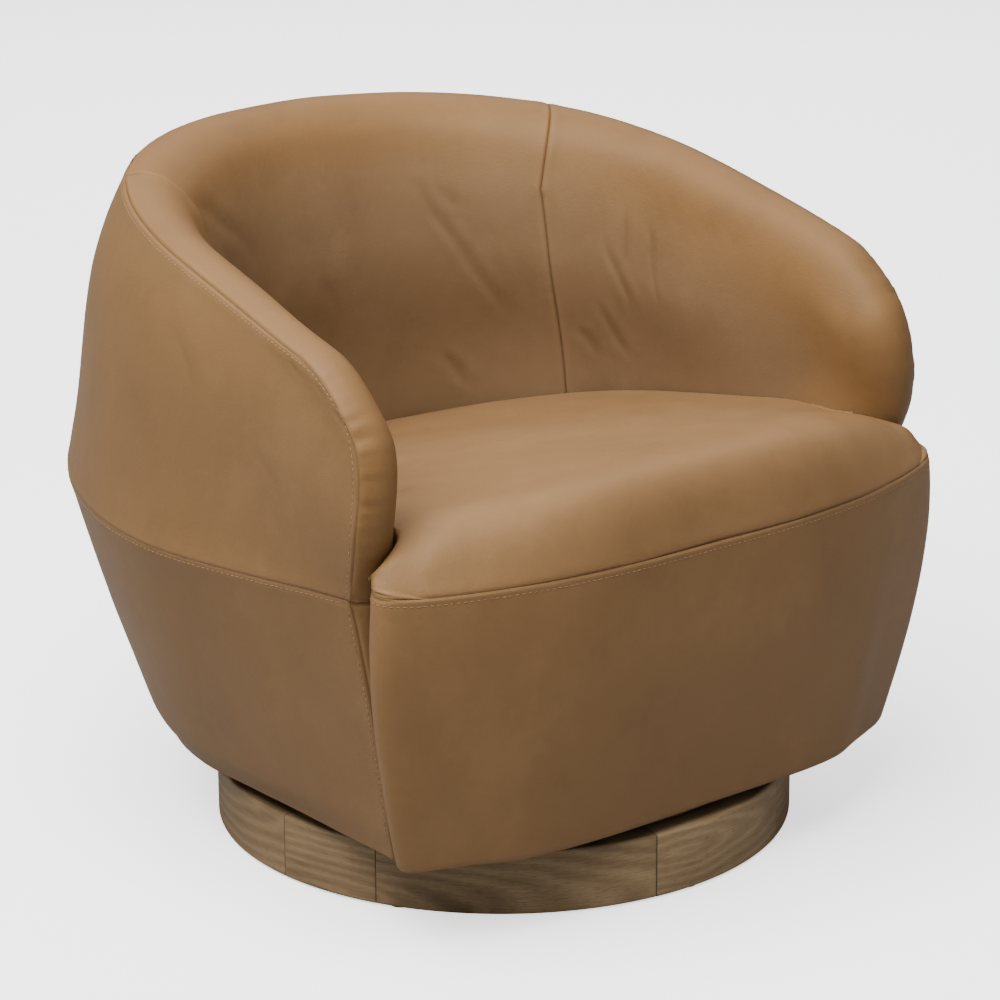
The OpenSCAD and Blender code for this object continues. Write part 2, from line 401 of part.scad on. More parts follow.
us_mid = steps(-split + .0006, split - .0006, 14);
us_side = concat(steps(split + .0006, .62, 8), steps(.68, .88, 4), [.915, .95, .975, .996]);
module upper_cover_back() color(leather) upper_panel(us_mid);
module upper_cover_right() color(leather) upper_panel(us_side);
module upper_cover_left() color(leather) left() upper_panel(us_side);
module lower_cover_back() color(leather) lower_panel(us_mid);
module lower_cover_right() color(leather) lower_panel(us_side);
module lower_cover_left() color(leather) left() lower_panel(us_side);
module dust_cover() color([0.12, 0.12, 0.12]) difference() {
  translate([0, 0, deck_z - 1]) linear_extrude(1) polygon(foot_plan(12));
  translate([0, 0, deck_z - 5]) cylinder(r = 172, h = 10, $fn = 96);
}

plinth_staves();
plinth_board();
plinth_blocks();
plinth_glides();
swivel_base_plate();
base_plate_screws();
pivot_bolt();
pivot_washer();
pivot_nut();
ball_cage();
bearing_balls();
swivel_top_plate();
pivot_bushing();
top_plate_bolts();
tee_nuts();
base_deck();
cross_rails();
deck_screws();
lower_ribs();
front_posts();
seat_posts();
waist_rail();
upper_ribs();
top_rail();
arm_board_left();
arm_board_right();
front_rail();
back_rail();
side_rails();
seat_springs();
spring_clips();
spring_cloth();
seat_foam();
front_board();
front_foam();
back_foam();
arm_foam_left();
arm_foam_right();
arm_front_foam_left();
arm_front_foam_right();
seat_cover();
front_cover();
inner_back_cover();
inner_cover_left();
inner_cover_right();
side_facing_left();
side_facing_right();
upper_cover_back();
upper_cover_left();
upper_cover_right();
lower_cover_back();
lower_cover_left();
lower_cover_right();
dust_cover();
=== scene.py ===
import json
import math
import bpy
import numpy as np
from mathutils import Vector, Matrix, kdtree


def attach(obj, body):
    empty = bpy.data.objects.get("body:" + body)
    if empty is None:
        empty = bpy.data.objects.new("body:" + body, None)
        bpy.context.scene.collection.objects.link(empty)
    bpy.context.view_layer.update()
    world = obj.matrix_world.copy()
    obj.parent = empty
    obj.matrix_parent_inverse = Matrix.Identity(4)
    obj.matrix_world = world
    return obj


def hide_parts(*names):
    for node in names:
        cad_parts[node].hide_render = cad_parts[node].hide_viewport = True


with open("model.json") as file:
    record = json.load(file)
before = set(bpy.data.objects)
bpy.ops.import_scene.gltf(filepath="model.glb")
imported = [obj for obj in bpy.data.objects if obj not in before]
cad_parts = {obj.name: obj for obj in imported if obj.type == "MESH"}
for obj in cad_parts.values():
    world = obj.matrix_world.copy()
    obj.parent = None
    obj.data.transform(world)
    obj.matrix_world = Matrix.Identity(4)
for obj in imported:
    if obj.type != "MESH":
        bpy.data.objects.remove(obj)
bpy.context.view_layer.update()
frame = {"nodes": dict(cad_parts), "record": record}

GRID = 3.6   # mm between the vertices of the leather surfaces

# ---------------------------------------------------------------- curve helpers (millimetres)
UB = 0.6


def ss(a, b, x):
    t = np.clip((np.asarray(x, float) - a) / (b - a), 0, 1)
    return t * t * (3 - 2 * t)


def vec(x, y, z):
    return np.stack(np.broadcast_arrays(x, y, z), -1).astype(float)


def out2(u, r, c, s, yf):
    th = math.radians(90 + s)
    a = np.minimum(1, u / UB) * th
    f = np.clip((u - UB) / (1 - UB), 0, None)
    L = (c + r * math.cos(th) - yf) / math.sin(th)
    return r * np.sin(a) + math.cos(th) * L * f, c + r * np.cos(a) - math.sin(th) * L * f


def nrm(u, s):
    a = np.minimum(1, np.asarray(u, float) / UB) * math.radians(90 + s)
    return vec(np.sin(a), np.cos(a), 0)


WAIST_S, TOP_S, YF, WZ, RISE, FOOT = 11.5, -3.4, -207.0, 355.0, 14.0, 83.0
TOPZ, DROP = 680.0, 252.0


def zseam(y):
    return TOPZ - DROP * (np.maximum(0, 400 - y) / 1000) ** 1.45 - 20 * (np.maximum(0, -140 - y) / 58) ** 2


def W(u):
    x, y = out2(u, 400, 80, WAIST_S, YF)
    return vec(x, y, WZ + RISE * (1 - ss(.28, .58, u)) - 3 * np.sin(np.pi * np.clip((u - .4) / .5, 0, 1)))


def B(u):
    x, y = out2(u, 303, 80, 0, YF)
    return vec(x, y, FOOT)


def S(u):
    x, y = out2(u, 342, 58, TOP_S, -204)
    return vec(x + 4 * ss(.5, .66, u) - 3 * ss(.85, 1, u), y, zseam(y))


S1Z = float(S(np.array(1.0))[2])


def mix(a, b, t):
    t = np.asarray(t, float)
    if t.ndim and np.asarray(a).ndim > t.ndim:
        t = t[..., None]
    return a * (1 - t) + b * t


SEC_B = [(0, 0, 0), (.25, 22, 6), (.5, 47, -2), (.75, 71, -27), (1, 88, -72)]
SEC_A = [(0, 0, 0), (.25, 20, 8), (.5, 42, 1), (.75, 61, -21), (1, 74, -63)]
SEC_F = [(0, 0, 0), (.25, 19, 8), (.5, 38, 4), (.75, 54, -12), (1, 63, -37)]


def smooth_rows(rows, n=400):
    """Catmull-Rom through the rows, as a dense table [key, values...]."""
    r = np.array(rows, float)
    k = r[:, 0]
    ext = np.vstack([2 * r[0] - r[1], r, 2 * r[-1] - r[-2]])
    t = np.linspace(k[0], k[-1], n)
    i = np.clip(np.searchsorted(k, t, side="right") - 1, 0, len(k) - 2)
    f = ((t - k[i]) / (k[i + 1] - k[i]))[:, None]
    p0, p1, p2, p3 = ext[i], ext[i + 1], ext[i + 2], ext[i + 3]
    v = .5 * (2 * p1 + (p2 - p0) * f + (2 * p0 - 5 * p1 + 4 * p2 - p3) * f ** 2 + (3 * p1 - p0 - 3 * p2 + p3) * f ** 3)
    v[:, 0] = t
    return v


def look(table, t):
    t = np.asarray(t, float)
    return np.stack([np.interp(t, table[:, 0], table[:, c]) for c in range(1, table.shape[1])], -1)


# front edge of the arm over height: width from the middle, forward bulge
T_E = smooth_rows([(0, 350, 0), (.1, 352.5, 6), (.2, 355, 12.5), (.3, 357, 18.5), (.4, 358, 23), (.5, 357, 25.5), (.6, 355, 26.5), (.7, 353.5, 25.5), (.8, 352.5, 21.5), (.9, 353, 14), (1, 356, 0)])


def E(v):
    v = np.clip(v, 0, 1)
    t = look(T_E, v)
    return vec(t[..., 0], YF + 3 * v - t[..., 1], WZ + (S1Z - WZ) * v)


def up(u, v):
    u, v = np.broadcast_arrays(np.asarray(u, float), np.asarray(v, float))
    w, s = W(u), S(u)
    w1, s1 = W(np.ones_like(u)), S(np.ones_like(u))
    vv = v[..., None]
    p = w * (1 - vv) + s * vv
    q = w1 * (1 - vv) + s1 * vv
    k = ss(.72, 1, u)[..., None] ** 1.5
    b = 15 * np.sin(np.pi * np.clip(v, 0, 1) ** 1.8) * (1 - .8 * ss(.62, 1, u)) + np.sin(np.pi * v) * (1 - ss(.6, .9, u))
    return p + (E(v) - q) * k + nrm(u, WAIST_S) * b[..., None]


def lo(u, v):
    u, v = np.broadcast_arrays(np.asarray(u, float), np.asarray(v, float))
    n = nrm(u, 0)
    vv = v[..., None]
    f = (1 - .85 * ss(.7, 1, u))[..., None]
    return W(u) * (1 - vv) + (B(u) + n * 9 * f) * vv + n * f * (4 * np.sin(np.pi * v) - 9 * ss(.86, 1, v) ** 1.6)[..., None] + vec(0, -7 * np.sin(np.pi * v) * ss(.8, 1, u), 0)


T_B, T_A, T_F = smooth_rows(SEC_B), smooth_rows(SEC_A), smooth_rows(SEC_F)


def seam(s):
    s = np.asarray(s, float)
    return np.where((s <= 1)[..., None], up(np.clip(s, 0, 1), 1.0), up(1.0, np.clip(2 - s, 0, 1)))


def unit(a):
    return a / np.maximum(1e-9, np.linalg.norm(a, axis=-1, keepdims=True))


def seam_s(g):
    """Place on the seam g mm along it, 0 at the middle of the back."""
    return np.where(g < 790, np.maximum(0, g) / 790, np.minimum(2, 1 + (g - 790) / 200))


def roll_frame(s):
    s = np.asarray(s, float)
    g = np.where(s < 1, s * 790, 790 + (s - 1) * 200)
    T = unit(seam(seam_s(g + 45)) - seam(seam_s(g - 45)))
    N = nrm(np.minimum(s, 1), TOP_S)
    M = unit(np.cross(N, T))
    sign = np.where(s < .9, M[..., 2], M[..., 2] - M[..., 1])
    return seam(s), N, M * np.where(sign < 0, -1, 1)[..., None]


def roll(s, w):
    s, w = np.broadcast_arrays(np.asarray(s, float), np.asarray(w, float))
    p, N, M = roll_frame(s)
    k1, k2 = ss(.35, .6, s)[..., None], ss(.6, 1, s)[..., None]
    q = look(T_B, w) * (1 - k1) + look(T_A, w) * k1
    q = q * (1 - k2) + look(T_F, w) * k2
    return p - N * q[..., :1] + M * q[..., 1:2]


def I0(u):
    x, y = out2(u, 286, 60, 0, -190)
    n = nrm(u, 0)
    f = 50 - 24 * ss(0, .38, u) - 26 * ss(.36, .62, u)
    return vec(x - n[..., 0] * f, y - n[..., 1] * f, 320)


def inn(u, v):
    u, v = np.broadcast_arrays(np.asarray(u, float), np.asarray(v, float))
    vv = v[..., None]
    o = np.ones_like(u)
    p = I0(u) * (1 - vv) + roll(u, 1.0) * vv
    q = I0(o) * (1 - vv) + roll(o, 1.0) * vv
    k = ss(.72, 1, u)[..., None] ** 1.5
    t = np.clip((v - .2) / .8, 0, 1)
    full = 11 * np.sin(np.pi * t) * ss(0, .7, t) * (1 - ss(.55, .95, u))
    return p + (roll(2 - v, 1.0) - q) * k - nrm(u, 0) * full[..., None]


def seat_top(x, y):
    x = np.abs(x)
    p = 392 - .17 * y + 8 * (1 - np.minimum(1, (x / 292) ** 2)) - 15 * (np.maximum(0, y - 100) / 200) ** 2
    g = np.minimum(1, (x / 360) ** 2.9 * (1 - ss(-190, -60, y)) + (np.maximum(0, -215 - y) / 115) ** 2.2)
    return p - (p - 371) * g ** 2.6


BT = smooth_rows([(0, 0, -330), (.11, 60, -330), (.22, 120, -328), (.35, 190, -320), (.45, 240, -309), (.55, 286, -295), (.65, 323, -280), (.75, 347, -266), (.84, 354, -252), (.92, 349, -239), (1, 338, -231)])
BF = smooth_rows([(0, 0, -297), (.11, 52, -297), (.22, 105, -297), (.35, 165, -294), (.45, 209, -287), (.55, 247, -271), (.65, 280, -258), (.75, 304, -248), (.84, 316, -238), (.92, 315, -226), (1, 304, -218)])


def block(a, v):
    """Front panel: a from ear to ear, v 0 at the seat seam, 1 at the foot."""
    a, v = np.broadcast_arrays(np.asarray(a, float), np.asarray(v, float))
    vv = v[..., None]
    o = look(BT, np.abs(a)) * (1 - vv) + look(BF, np.abs(a)) * vv
    n = unit(o - np.array([0, -100.]))
    o = o + n * ((10 + 8 * ss(.5, .85, np.abs(a))) * np.sin(np.pi * np.clip(v, 0, 1) ** .8))[..., None]
    top = 371 + 3 * ss(.6, .9, np.abs(a))
    return vec(np.where(a < 0, -o[..., 0], o[..., 0]), o[..., 1], top + (FOOT - top) * v)


EAR, MEET_END = .6, .27


def meet(a):
    """Line where the seat meets the inner faces; a from 0 (back) to 1 (ear)."""
    a = np.asarray(a, float)
    u = (np.clip(a, 0, EAR) / EAR) ** .93
    lo_, hi_ = np.zeros_like(u), np.ones_like(u)
    for _ in range(16):
        m = (lo_ + hi_) / 2
        p = inn(u, m)
        over = p[..., 2] > seat_top(p[..., 0], p[..., 1])
        hi_ = np.where(over, m, hi_)
        lo_ = np.where(over, lo_, m)
    A = inn(u, (lo_ + hi_) / 2)
    w = 1 + (.06 - 1) * np.clip((a - EAR) / (1 - EAR), 0, 1)
    C = roll(2 - (.12 + (MEET_END - .12) * w ** .8), w)
    return np.where((a <= EAR)[..., None], A, C)


def mirror(P):
    Q = P.copy()
    Q[..., 0] *= -1
    return Q


def signed(fn):
    """The same surface with u below 0 on the left half."""
    def g(u, *r):
        u = np.asarray(u, float)
        P = fn(np.abs(u), *r)
        return np.where((u < 0)[..., None] if u.shape == P.shape[:-1] else (np.broadcast_to(u, P.shape[:-1]) < 0)[..., None], mirror(P), P)
    return g


# ---------------------------------------------------------------- noise
_rng = np.random.RandomState(11)
_PERM = np.concatenate([_rng.permutation(256)] * 3)
_GRAD = unit(_rng.normal(size=(256, 3)))


def perlin(P, wave, seed=0):
    """Gradient noise, about -1 to 1, features of the given wavelength in mm."""
    Q = np.asarray(P, float) / wave + 17.3 * (seed + 1)
    i = np.floor(Q).astype(int)
    f = Q - i
    w = f * f * f * (f * (f * 6 - 15) + 10)
    out = 0
    for dx in (0, 1):
        for dy in (0, 1):
            for dz in (0, 1):
                h = _PERM[(_PERM[(_PERM[(i[..., 0] + dx) & 255] + i[..., 1] + dy) & 255] + i[..., 2] + dz) & 255]
                g = _GRAD[h]
                d = g[..., 0] * (f[..., 0] - dx) + g[..., 1] * (f[..., 1] - dy) + g[..., 2] * (f[..., 2] - dz)
                wx = w[..., 0] if dx else 1 - w[..., 0]
                wy = w[..., 1] if dy else 1 - w[..., 1]
                wz = w[..., 2] if dz else 1 - w[..., 2]
                out = out + d * wx * wy * wz
    return out * 1.6


def line_noise(s, wave, seed):
    return perlin(vec(s, 7.7 * seed, 3.1), wave, seed)


# ---------------------------------------------------------------- meshes
def graded(a, b, length, step=None, fine=(True, True), edge=(0, .8, 1.7, 2.8, 4.2, 6.2, 9.0)):
    """Parameters from a to b over a length in mm, closer together at the ends."""
    step = step or GRID
    e = list(edge)
    left = e if fine[0] else [0]
    right = [length - x for x in reversed(e)] if fine[1] else [length]
    n = max(1, int(round((right[0] - left[-1]) / step)))
    mid = list(np.linspace(left[-1], right[0], n + 1))[1:-1]
    return a + (b - a) * np.array(left + mid + right) / length


def grid_faces(n, m, off=0, flip=False):
    i = np.arange(n * m).reshape(n, m) + off
    q = np.stack([i[:-1, :-1], i[1:, :-1], i[1:, 1:], i[:-1, 1:]], -1).reshape(-1, 4)
    return q[:, ::-1] if flip else q


def weld(V, F, tol=.02):
    key = np.round(V / tol).astype(np.int64)
    _, first, inv = np.unique(key, axis=0, return_index=True, return_inverse=True)
    inv = inv.reshape(-1)
    F = inv[F]
    ok = np.array([len(set(f)) >= 3 for f in F]) if len(F) < 1 else np.ones(len(F), bool)
    return V[first], F[ok], first


def vertex_normals(V, F):
    n = np.cross(V[F[:, 2]] - V[F[:, 0]], V[F[:, 3]] - V[F[:, 1]])
    N = np.zeros_like(V)
    for c in range(4):
        np.add.at(N, F[:, c], n)
    return unit(N)


def relax(V, F, k, rounds):
    """Moves each vertex towards the mean of its neighbours, k of the way at most."""
    a = np.concatenate([F.ravel(), np.roll(F, -1, 1).ravel()])
    b = np.concatenate([np.roll(F, -1, 1).ravel(), F.ravel()])
    c = np.maximum(1, np.bincount(a, minlength=len(V)))[:, None]
    for _ in range(rounds):
        V = V * (1 - k) + k * np.stack([np.bincount(a, V[b, i], len(V)) for i in range(3)], -1) / c
    return V


def boundary(F):
    """Directed edges used by one face only."""
    e = np.concatenate([F[:, [0, 1]], F[:, [1, 2]], F[:, [2, 3]], F[:, [3, 0]]])
    key = np.sort(e, 1)
    k = key[:, 0].astype(np.int64) * (key.max() + 1) + key[:, 1]
    u, idx, cnt = np.unique(k, return_index=True, return_counts=True)
    return e[idx[cnt == 1]]


def close_shell(V, F, N, depth):
    """Adds a back face depth below the front one, and walls round the edge."""
    n = len(V)
    b = boundary(F)
    b = b[b[:, 0] != b[:, 1]]
    back = V - N * (depth[:, None] if np.ndim(depth) else depth)
    walls = np.stack([b[:, 1], b[:, 0], b[:, 0] + n, b[:, 1] + n], -1)
    return np.vstack([V, back]), np.vstack([F, F[:, ::-1] + n, walls])


def to_object(name, V, F, mat, attrs=None, smooth=True, body="seat_body"):
    me = bpy.data.meshes.new(name)
    F = [tuple(dict.fromkeys(int(i) for i in f)) for f in F]
    F = [f for f in F if len(f) >= 3]
    me.from_pydata((np.asarray(V) / 1000).tolist(), [], F)
    me.validate()
    if smooth:
        me.polygons.foreach_set("use_smooth", [True] * len(me.polygons))
    for k, a in (attrs or {}).items():
        a = np.asarray(a, np.float32)
        if a.ndim == 1:
            at = me.attributes.new(k, "FLOAT", "POINT")
            at.data.foreach_set("value", a)
        else:
            at = me.attributes.new(k, "FLOAT_VECTOR", "POINT")
            at.data.foreach_set("vector", a.reshape(-1))
    me.update()
    o = bpy.data.objects.new(name, me)
    bpy.context.scene.collection.objects.link(o)
    me.materials.append(mat)
    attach(o, body)
    return o


class Line:
    """A polyline with arc length, for distances to seams and creases."""

    def __init__(self, pts, step=1.0, out=None):
        pts = np.asarray(pts, float)
        d = np.concatenate([[0], np.cumsum(np.linalg.norm(np.diff(pts, axis=0), axis=1))])
        self.length = d[-1]
        n = max(2, int(d[-1] / step) + 1)
        s = np.linspace(0, d[-1], n)
        self.p = np.stack([np.interp(s, d, pts[:, c]) for c in range(3)], -1)
        self.s = s
        self.t = unit(np.gradient(self.p, axis=0))
        self.out = None if out is None else unit(np.stack([np.interp(s, d, out[:, c]) for c in range(3)], -1))
        self.tree = kdtree.KDTree(n)
        for i, q in enumerate(self.p):
            self.tree.insert(Vector(q), i)
        self.tree.balance()

    def near(self, V):
        """Distance to the line and arc length of the nearest point."""
        k = np.array([(r[2], self.s[r[1]]) for r in (self.tree.find(Vector(q)) for q in V)])
        return k[:, 0], k[:, 1]


# ---------------------------------------------------------------- materials
def new_mat(name):
    m = bpy.data.materials.new(name)
    m.use_nodes = True
    nt = m.node_tree
    nt.nodes.clear()
    out = nt.nodes.new("ShaderNodeOutputMaterial")
    bs = nt.nodes.new("ShaderNodeBsdfPrincipled")
    nt.links.new(bs.outputs[0], out.inputs[0])
    return m, nt, bs


def node(nt, kind, **kw):
    n = nt.nodes.new("ShaderNode" + kind)
    for k, v in kw.items():
        if k in n.inputs:
            n.inputs[k].default_value = v
        else:
            setattr(n, k, v)
    return n


def ramp(nt, src, stops, interp="EASE"):
    n = nt.nodes.new("ShaderNodeValToRGB")
    n.color_ramp.interpolation = interp
    el = n.color_ramp.elements
    while len(el) > 1:
        el.remove(el[-1])
    el[0].position = stops[0][0]
    el[0].color = (*stops[0][1], 1) if len(stops[0][1]) == 3 else stops[0][1]
    for p, c in stops[1:]:
        e = el.new(p)
        e.color = (*c, 1) if len(c) == 3 else c
    nt.links.new(src, n.inputs[0])
    return n.outputs[0]


def mixc(nt, fac, a, b, kind="MIX"):
    n = nt.nodes.new("ShaderNodeMix")
    n.data_type = "RGBA"
    n.blend_type = kind
    for sock, v in ((n.inputs[0], fac), (n.inputs[6], a), (n.inputs[7], b)):
        if hasattr(v, "links") or hasattr(v, "is_linked"):
            nt.links.new(v, sock)
        else:
            sock.default_value = v if isinstance(v, float) else (*v, 1)
    return n.outputs[2]


def math_(nt, op, a, b=None, c=None, clamp=False):
    n = nt.nodes.new("ShaderNodeMath")
    n.operation = op
    n.use_clamp = clamp
    for i, v in enumerate((a, b, c)):
        if v is None:
            continue
        if hasattr(v, "is_linked"):
            nt.links.new(v, n.inputs[i])
        else:
            n.inputs[i].default_value = v
    return n.outputs[0]


def tex_noise(nt, co, scale, detail=3.0, rough=.5, distort=0.0):
    n = nt.nodes.new("ShaderNodeTexNoise")
    n.inputs["Scale"].default_value = scale
    n.inputs["Detail"].default_value = detail
    n.inputs["Roughness"].default_value = rough
    n.inputs["Distortion"].default_value = distort
    nt.links.new(co, n.inputs["Vector"])
    return n.outputs[0]


def mapped(nt, co, scale=(1, 1, 1), loc=(0, 0, 0), rot=(0, 0, 0)):
    n = nt.nodes.new("ShaderNodeMapping")
    n.inputs["Scale"].default_value = scale
    n.inputs["Location"].default_value = loc
    n.inputs["Rotation"].default_value = rot
    nt.links.new(co, n.inputs["Vector"])
    return n.outputs[0]


def bump(nt, h, dist, strength=1.0, normal=None):
    n = nt.nodes.new("ShaderNodeBump")
    n.inputs["Distance"].default_value = dist
    n.inputs["Strength"].default_value = strength
    nt.links.new(h, n.inputs["Height"])
    if normal is not None:
        nt.links.new(normal, n.inputs["Normal"])
    return n.outputs[0]


def attr(nt, name):
    n = nt.nodes.new("ShaderNodeAttribute")
    n.attribute_type = "GEOMETRY"
    n.attribute_name = name
    return n


def leather_material(name, base, dark, light, rough=.5):
    """Semi-matt full-grain leather: mottled dye, pores, fine crease lines, with painted shade in the folds."""
    m, nt, bs = new_mat(name)
    co = node(nt, "TexCoord").outputs["Object"]
    big = tex_noise(nt, co, 5.5, 3.0, .55, .3)
    mid = tex_noise(nt, mapped(nt, co, (1, 1, .7), (3.1, 1.7, .4)), 19, 4.0, .6, .2)
    fine = tex_noise(nt, co, 110, 3.0, .65)
    tone = math_(nt, "ADD", math_(nt, "MULTIPLY", big, .50), math_(nt, "MULTIPLY", mid, .36))
    tone = math_(nt, "ADD", tone, math_(nt, "MULTIPLY", fine, .14))
    col = ramp(nt, tone, [(.34, dark), (.50, base), (.66, light)])
    # painted light and shade: inner faces paler and cooler, the rounded top darker, the outer panels a little darker
    col = mixc(nt, attr(nt, "sheltered").outputs["Fac"], col, (.93, 1.03, 1.27), "MULTIPLY")
    col = mixc(nt, attr(nt, "painted_shade_top").outputs["Fac"], col, (.93, .89, .79), "MULTIPLY")
    col = mixc(nt, attr(nt, "outer").outputs["Fac"], col, (.92, .93, .93), "MULTIPLY")
    # painted shade in the folds, seams, stitch rows, gaps and where the seat meets the arms and back; proud edges
    # beside the seams hold a little less dye
    cr = attr(nt, "painted_shade_and_joint").outputs["Fac"]
    col = mixc(nt, math_(nt, "MULTIPLY", cr, .72, clamp=True), col, tuple(c * .38 for c in dark))
    wr = attr(nt, "wear").outputs["Fac"]
    col = mixc(nt, math_(nt, "MULTIPLY", wr, .35, clamp=True), col, tuple(min(1, c * 1.28) for c in light))
    nt.links.new(col, bs.inputs["Base Color"])
    vo = nt.nodes.new("ShaderNodeTexVoronoi")
    vo.feature = "SMOOTH_F1"
    vo.inputs["Scale"].default_value = 620
    vo.inputs["Smoothness"].default_value = .35
    wob = nt.nodes.new("ShaderNodeVectorMath")
    wob.operation = "ADD"
    nt.links.new(co, wob.inputs[0])
    wn = nt.nodes.new("ShaderNodeTexNoise")
    wn.inputs["Scale"].default_value = 140
    nt.links.new(co, wn.inputs["Vector"])
    sc = nt.nodes.new("ShaderNodeVectorMath")
    sc.operation = "SCALE"
    sc.inputs["Scale"].default_value = .0022
    nt.links.new(wn.outputs["Color"], sc.inputs[0])
    nt.links.new(sc.outputs[0], wob.inputs[1])
    nt.links.new(wob.outputs[0], vo.inputs["Vector"])
    grain = math_(nt, "ADD", vo.outputs["Distance"], math_(nt, "MULTIPLY", fine, .8))
    n1 = bump(nt, grain, .00022, .55)
    n2 = bump(nt, tex_noise(nt, co, 46, 4.0, .6, .4), .0011, .35, n1)
    nt.links.new(n2, bs.inputs["Normal"])
    r = math_(nt, "ADD", rough - .05, math_(nt, "MULTIPLY", mid, .12))
    r = math_(nt, "ADD", r, math_(nt, "MULTIPLY", fine, .05))
    nt.links.new(r, bs.inputs["Roughness"])
    bs.inputs["Specular IOR Level"].default_value = .30
    bs.inputs["Specular Tint"].default_value = (1.0, .84, .66, 1)
    return m


def thread_material(name, col):
    m, nt, bs = new_mat(name)
    co = node(nt, "TexCoord").outputs["Object"]
    w = nt.nodes.new("ShaderNodeTexWave")
    w.inputs["Scale"].default_value = 900
    w.inputs["Distortion"].default_value = 2
    nt.links.new(mapped(nt, co, (1, 1, 1), (0, 0, 0), (.4, .7, .2)), w.inputs["Vector"])
    c = mixc(nt, math_(nt, "MULTIPLY", w.outputs["Fac"], .35), col, tuple(x * .7 for x in col))
    nt.links.new(c, bs.inputs["Base Color"])
    nt.links.new(bump(nt, w.outputs["Fac"], .0001, .5), bs.inputs["Normal"])
    bs.inputs["Roughness"].default_value = .7
    return m


LEATHER = leather_material("leather_tan", (.180, .0965, .0385), (.160, .085, .0335), (.201, .109, .0450), .52)
THREAD = thread_material("thread_tan", (.27, .165, .080))


# ---------------------------------------------------------------- leather pieces
def gauss(t, w):
    return np.exp(-(t / w) ** 2)


def seam_edge(t, s, deep=2.4, w=2.2, puff=.5, pucker=.25, seed=0, reach=11, wave=9.0):
    """Height near a sewn edge: a rounded roll into the seam, a slight swell beside it, gathers across it."""
    d = -deep * gauss(t, w) + puff * (t / 6) * np.exp(-(t / 9) ** 2) * 1.6
    g = line_noise(s, wave, seed) + .6 * line_noise(s, wave * .47, seed + 3)
    return d + pucker * g * np.exp(-t / reach) * (1 - gauss(t, 1.5))


def leather_body(V, seed=0, amount=1.0):
    """Slow unevenness of leather over foam."""
    return amount * (1.0 * perlin(V, 150, seed) + .42 * perlin(V, 58, seed + 1) + .10 * perlin(V, 21, seed + 2))


def outward(p, a, b):
    """Bisector of two surfaces that meet at p, pointing out of the body; a and b lie a little way into each."""
    return -unit(unit(a - p) + unit(b - p))


class Piece:
    pass


def leather_piece(name, grids, edges=(), stitches=(), extra=None, depth=3.0, replaces=(), body="seat_body", seed=0, uneven=1.0, mat=None, soften=None):
    Vs, Fs, off = [], [], 0
    for P, fl in grids:
        n, m = P.shape[:2]
        Vs.append(P.reshape(-1, 3))
        Fs.append(grid_faces(n, m, off, fl))
        off += n * m
    V, F, _ = weld(np.vstack(Vs), np.vstack(Fs))
    near = [line.near(V) for line, _ in edges]
    tmin = np.min([t for t, _ in near], axis=0)
    if soften:
        # the foam has no edge where two of its curved faces run together
        line, reach, rounds = soften
        k = (np.exp(-(line.near(V)[0] / reach) ** 2) * ss(4, 18, tmin))[:, None]
        V = relax(V, F, .6 * k, rounds)
    N = vertex_normals(V, F)
    for (line, _), (t, s) in zip(edges, near):
        if line.out is not None:
            j = np.clip(np.round(s / (line.s[1] - line.s[0])).astype(int), 0, len(line.s) - 1)
            k = np.exp(-(t / 4.0) ** 2)[:, None]
            N = unit(N * (1 - k) + line.out[j] * k)
    D = leather_body(V, seed, uneven)
    painted_shade_and_joint = np.zeros(len(V))
    wear = np.zeros(len(V))
    for (line, kw), (t, s) in zip(edges, near):
        kw = dict(kw)
        dark = kw.pop("dark", 1.0)
        D *= ss(0, 30, t)
        D += seam_edge(t, s, **kw)
        # painted shade in each seam groove
        painted_shade_and_joint = np.maximum(painted_shade_and_joint, dark * gauss(t, 1.15))
        wear = np.maximum(wear, .8 * gauss(t - 4.6, 2.2) * (.6 + .5 * line_noise(s, 60, 5)))
    for line in stitches:
        t, s = line.near(V)
        D -= .42 * gauss(t, 1.5) * (.72 + .28 * np.cos(2 * np.pi * s / PITCH))
        # painted shade along the stitch rows
        painted_shade_and_joint = np.maximum(painted_shade_and_joint, .22 * gauss(t, 1.2))
    if extra:
        d, c = extra(V, N)
        D = D + d
        painted_shade_and_joint = np.maximum(painted_shade_and_joint, c)
    V2 = V + N * D[:, None]
    N2 = vertex_normals(V2, F)
    dd = depth(V) if callable(depth) else depth
    A, Q = close_shell(V2, F, N2, dd * (.3 + .7 * ss(0, 9, tmin)))
    k = {"painted_shade_and_joint": np.concatenate([np.clip(painted_shade_and_joint, 0, 1), .5 * np.clip(painted_shade_and_joint, 0, 1)]),
         "wear": np.concatenate([np.clip(wear, 0, 1), np.zeros(len(V))])}
    if name.startswith("inner"):
        # the rounded top is painted a little darker and warmer (painted shade), the inner faces below it paler and
        # cooler (painted light)
        for key, a in (("sheltered", ss(70, 150, near[0][0])), ("painted_shade_top", 1 - ss(60, 120, near[0][0]))):
            k[key] = np.concatenate([a, a])
    # painted shade: the outer panels a little darker all over
    if name.startswith(("upper", "lower")):
        k["outer"] = np.ones(2 * len(V))
    o = to_object(name, A, Q, mat or LEATHER, k, body=body)
    if replaces:
        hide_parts(*replaces)
    p = Piece()
    p.name, p.V, p.V2, p.N, p.obj = name, V, V2, N2, o
    for i, line in enumerate(stitches):
        sew(f"{name}_stitches{'' if len(stitches) == 1 else '_' + 'abcdef'[i]}", line, p, body)
    return p


PITCH = 6.4


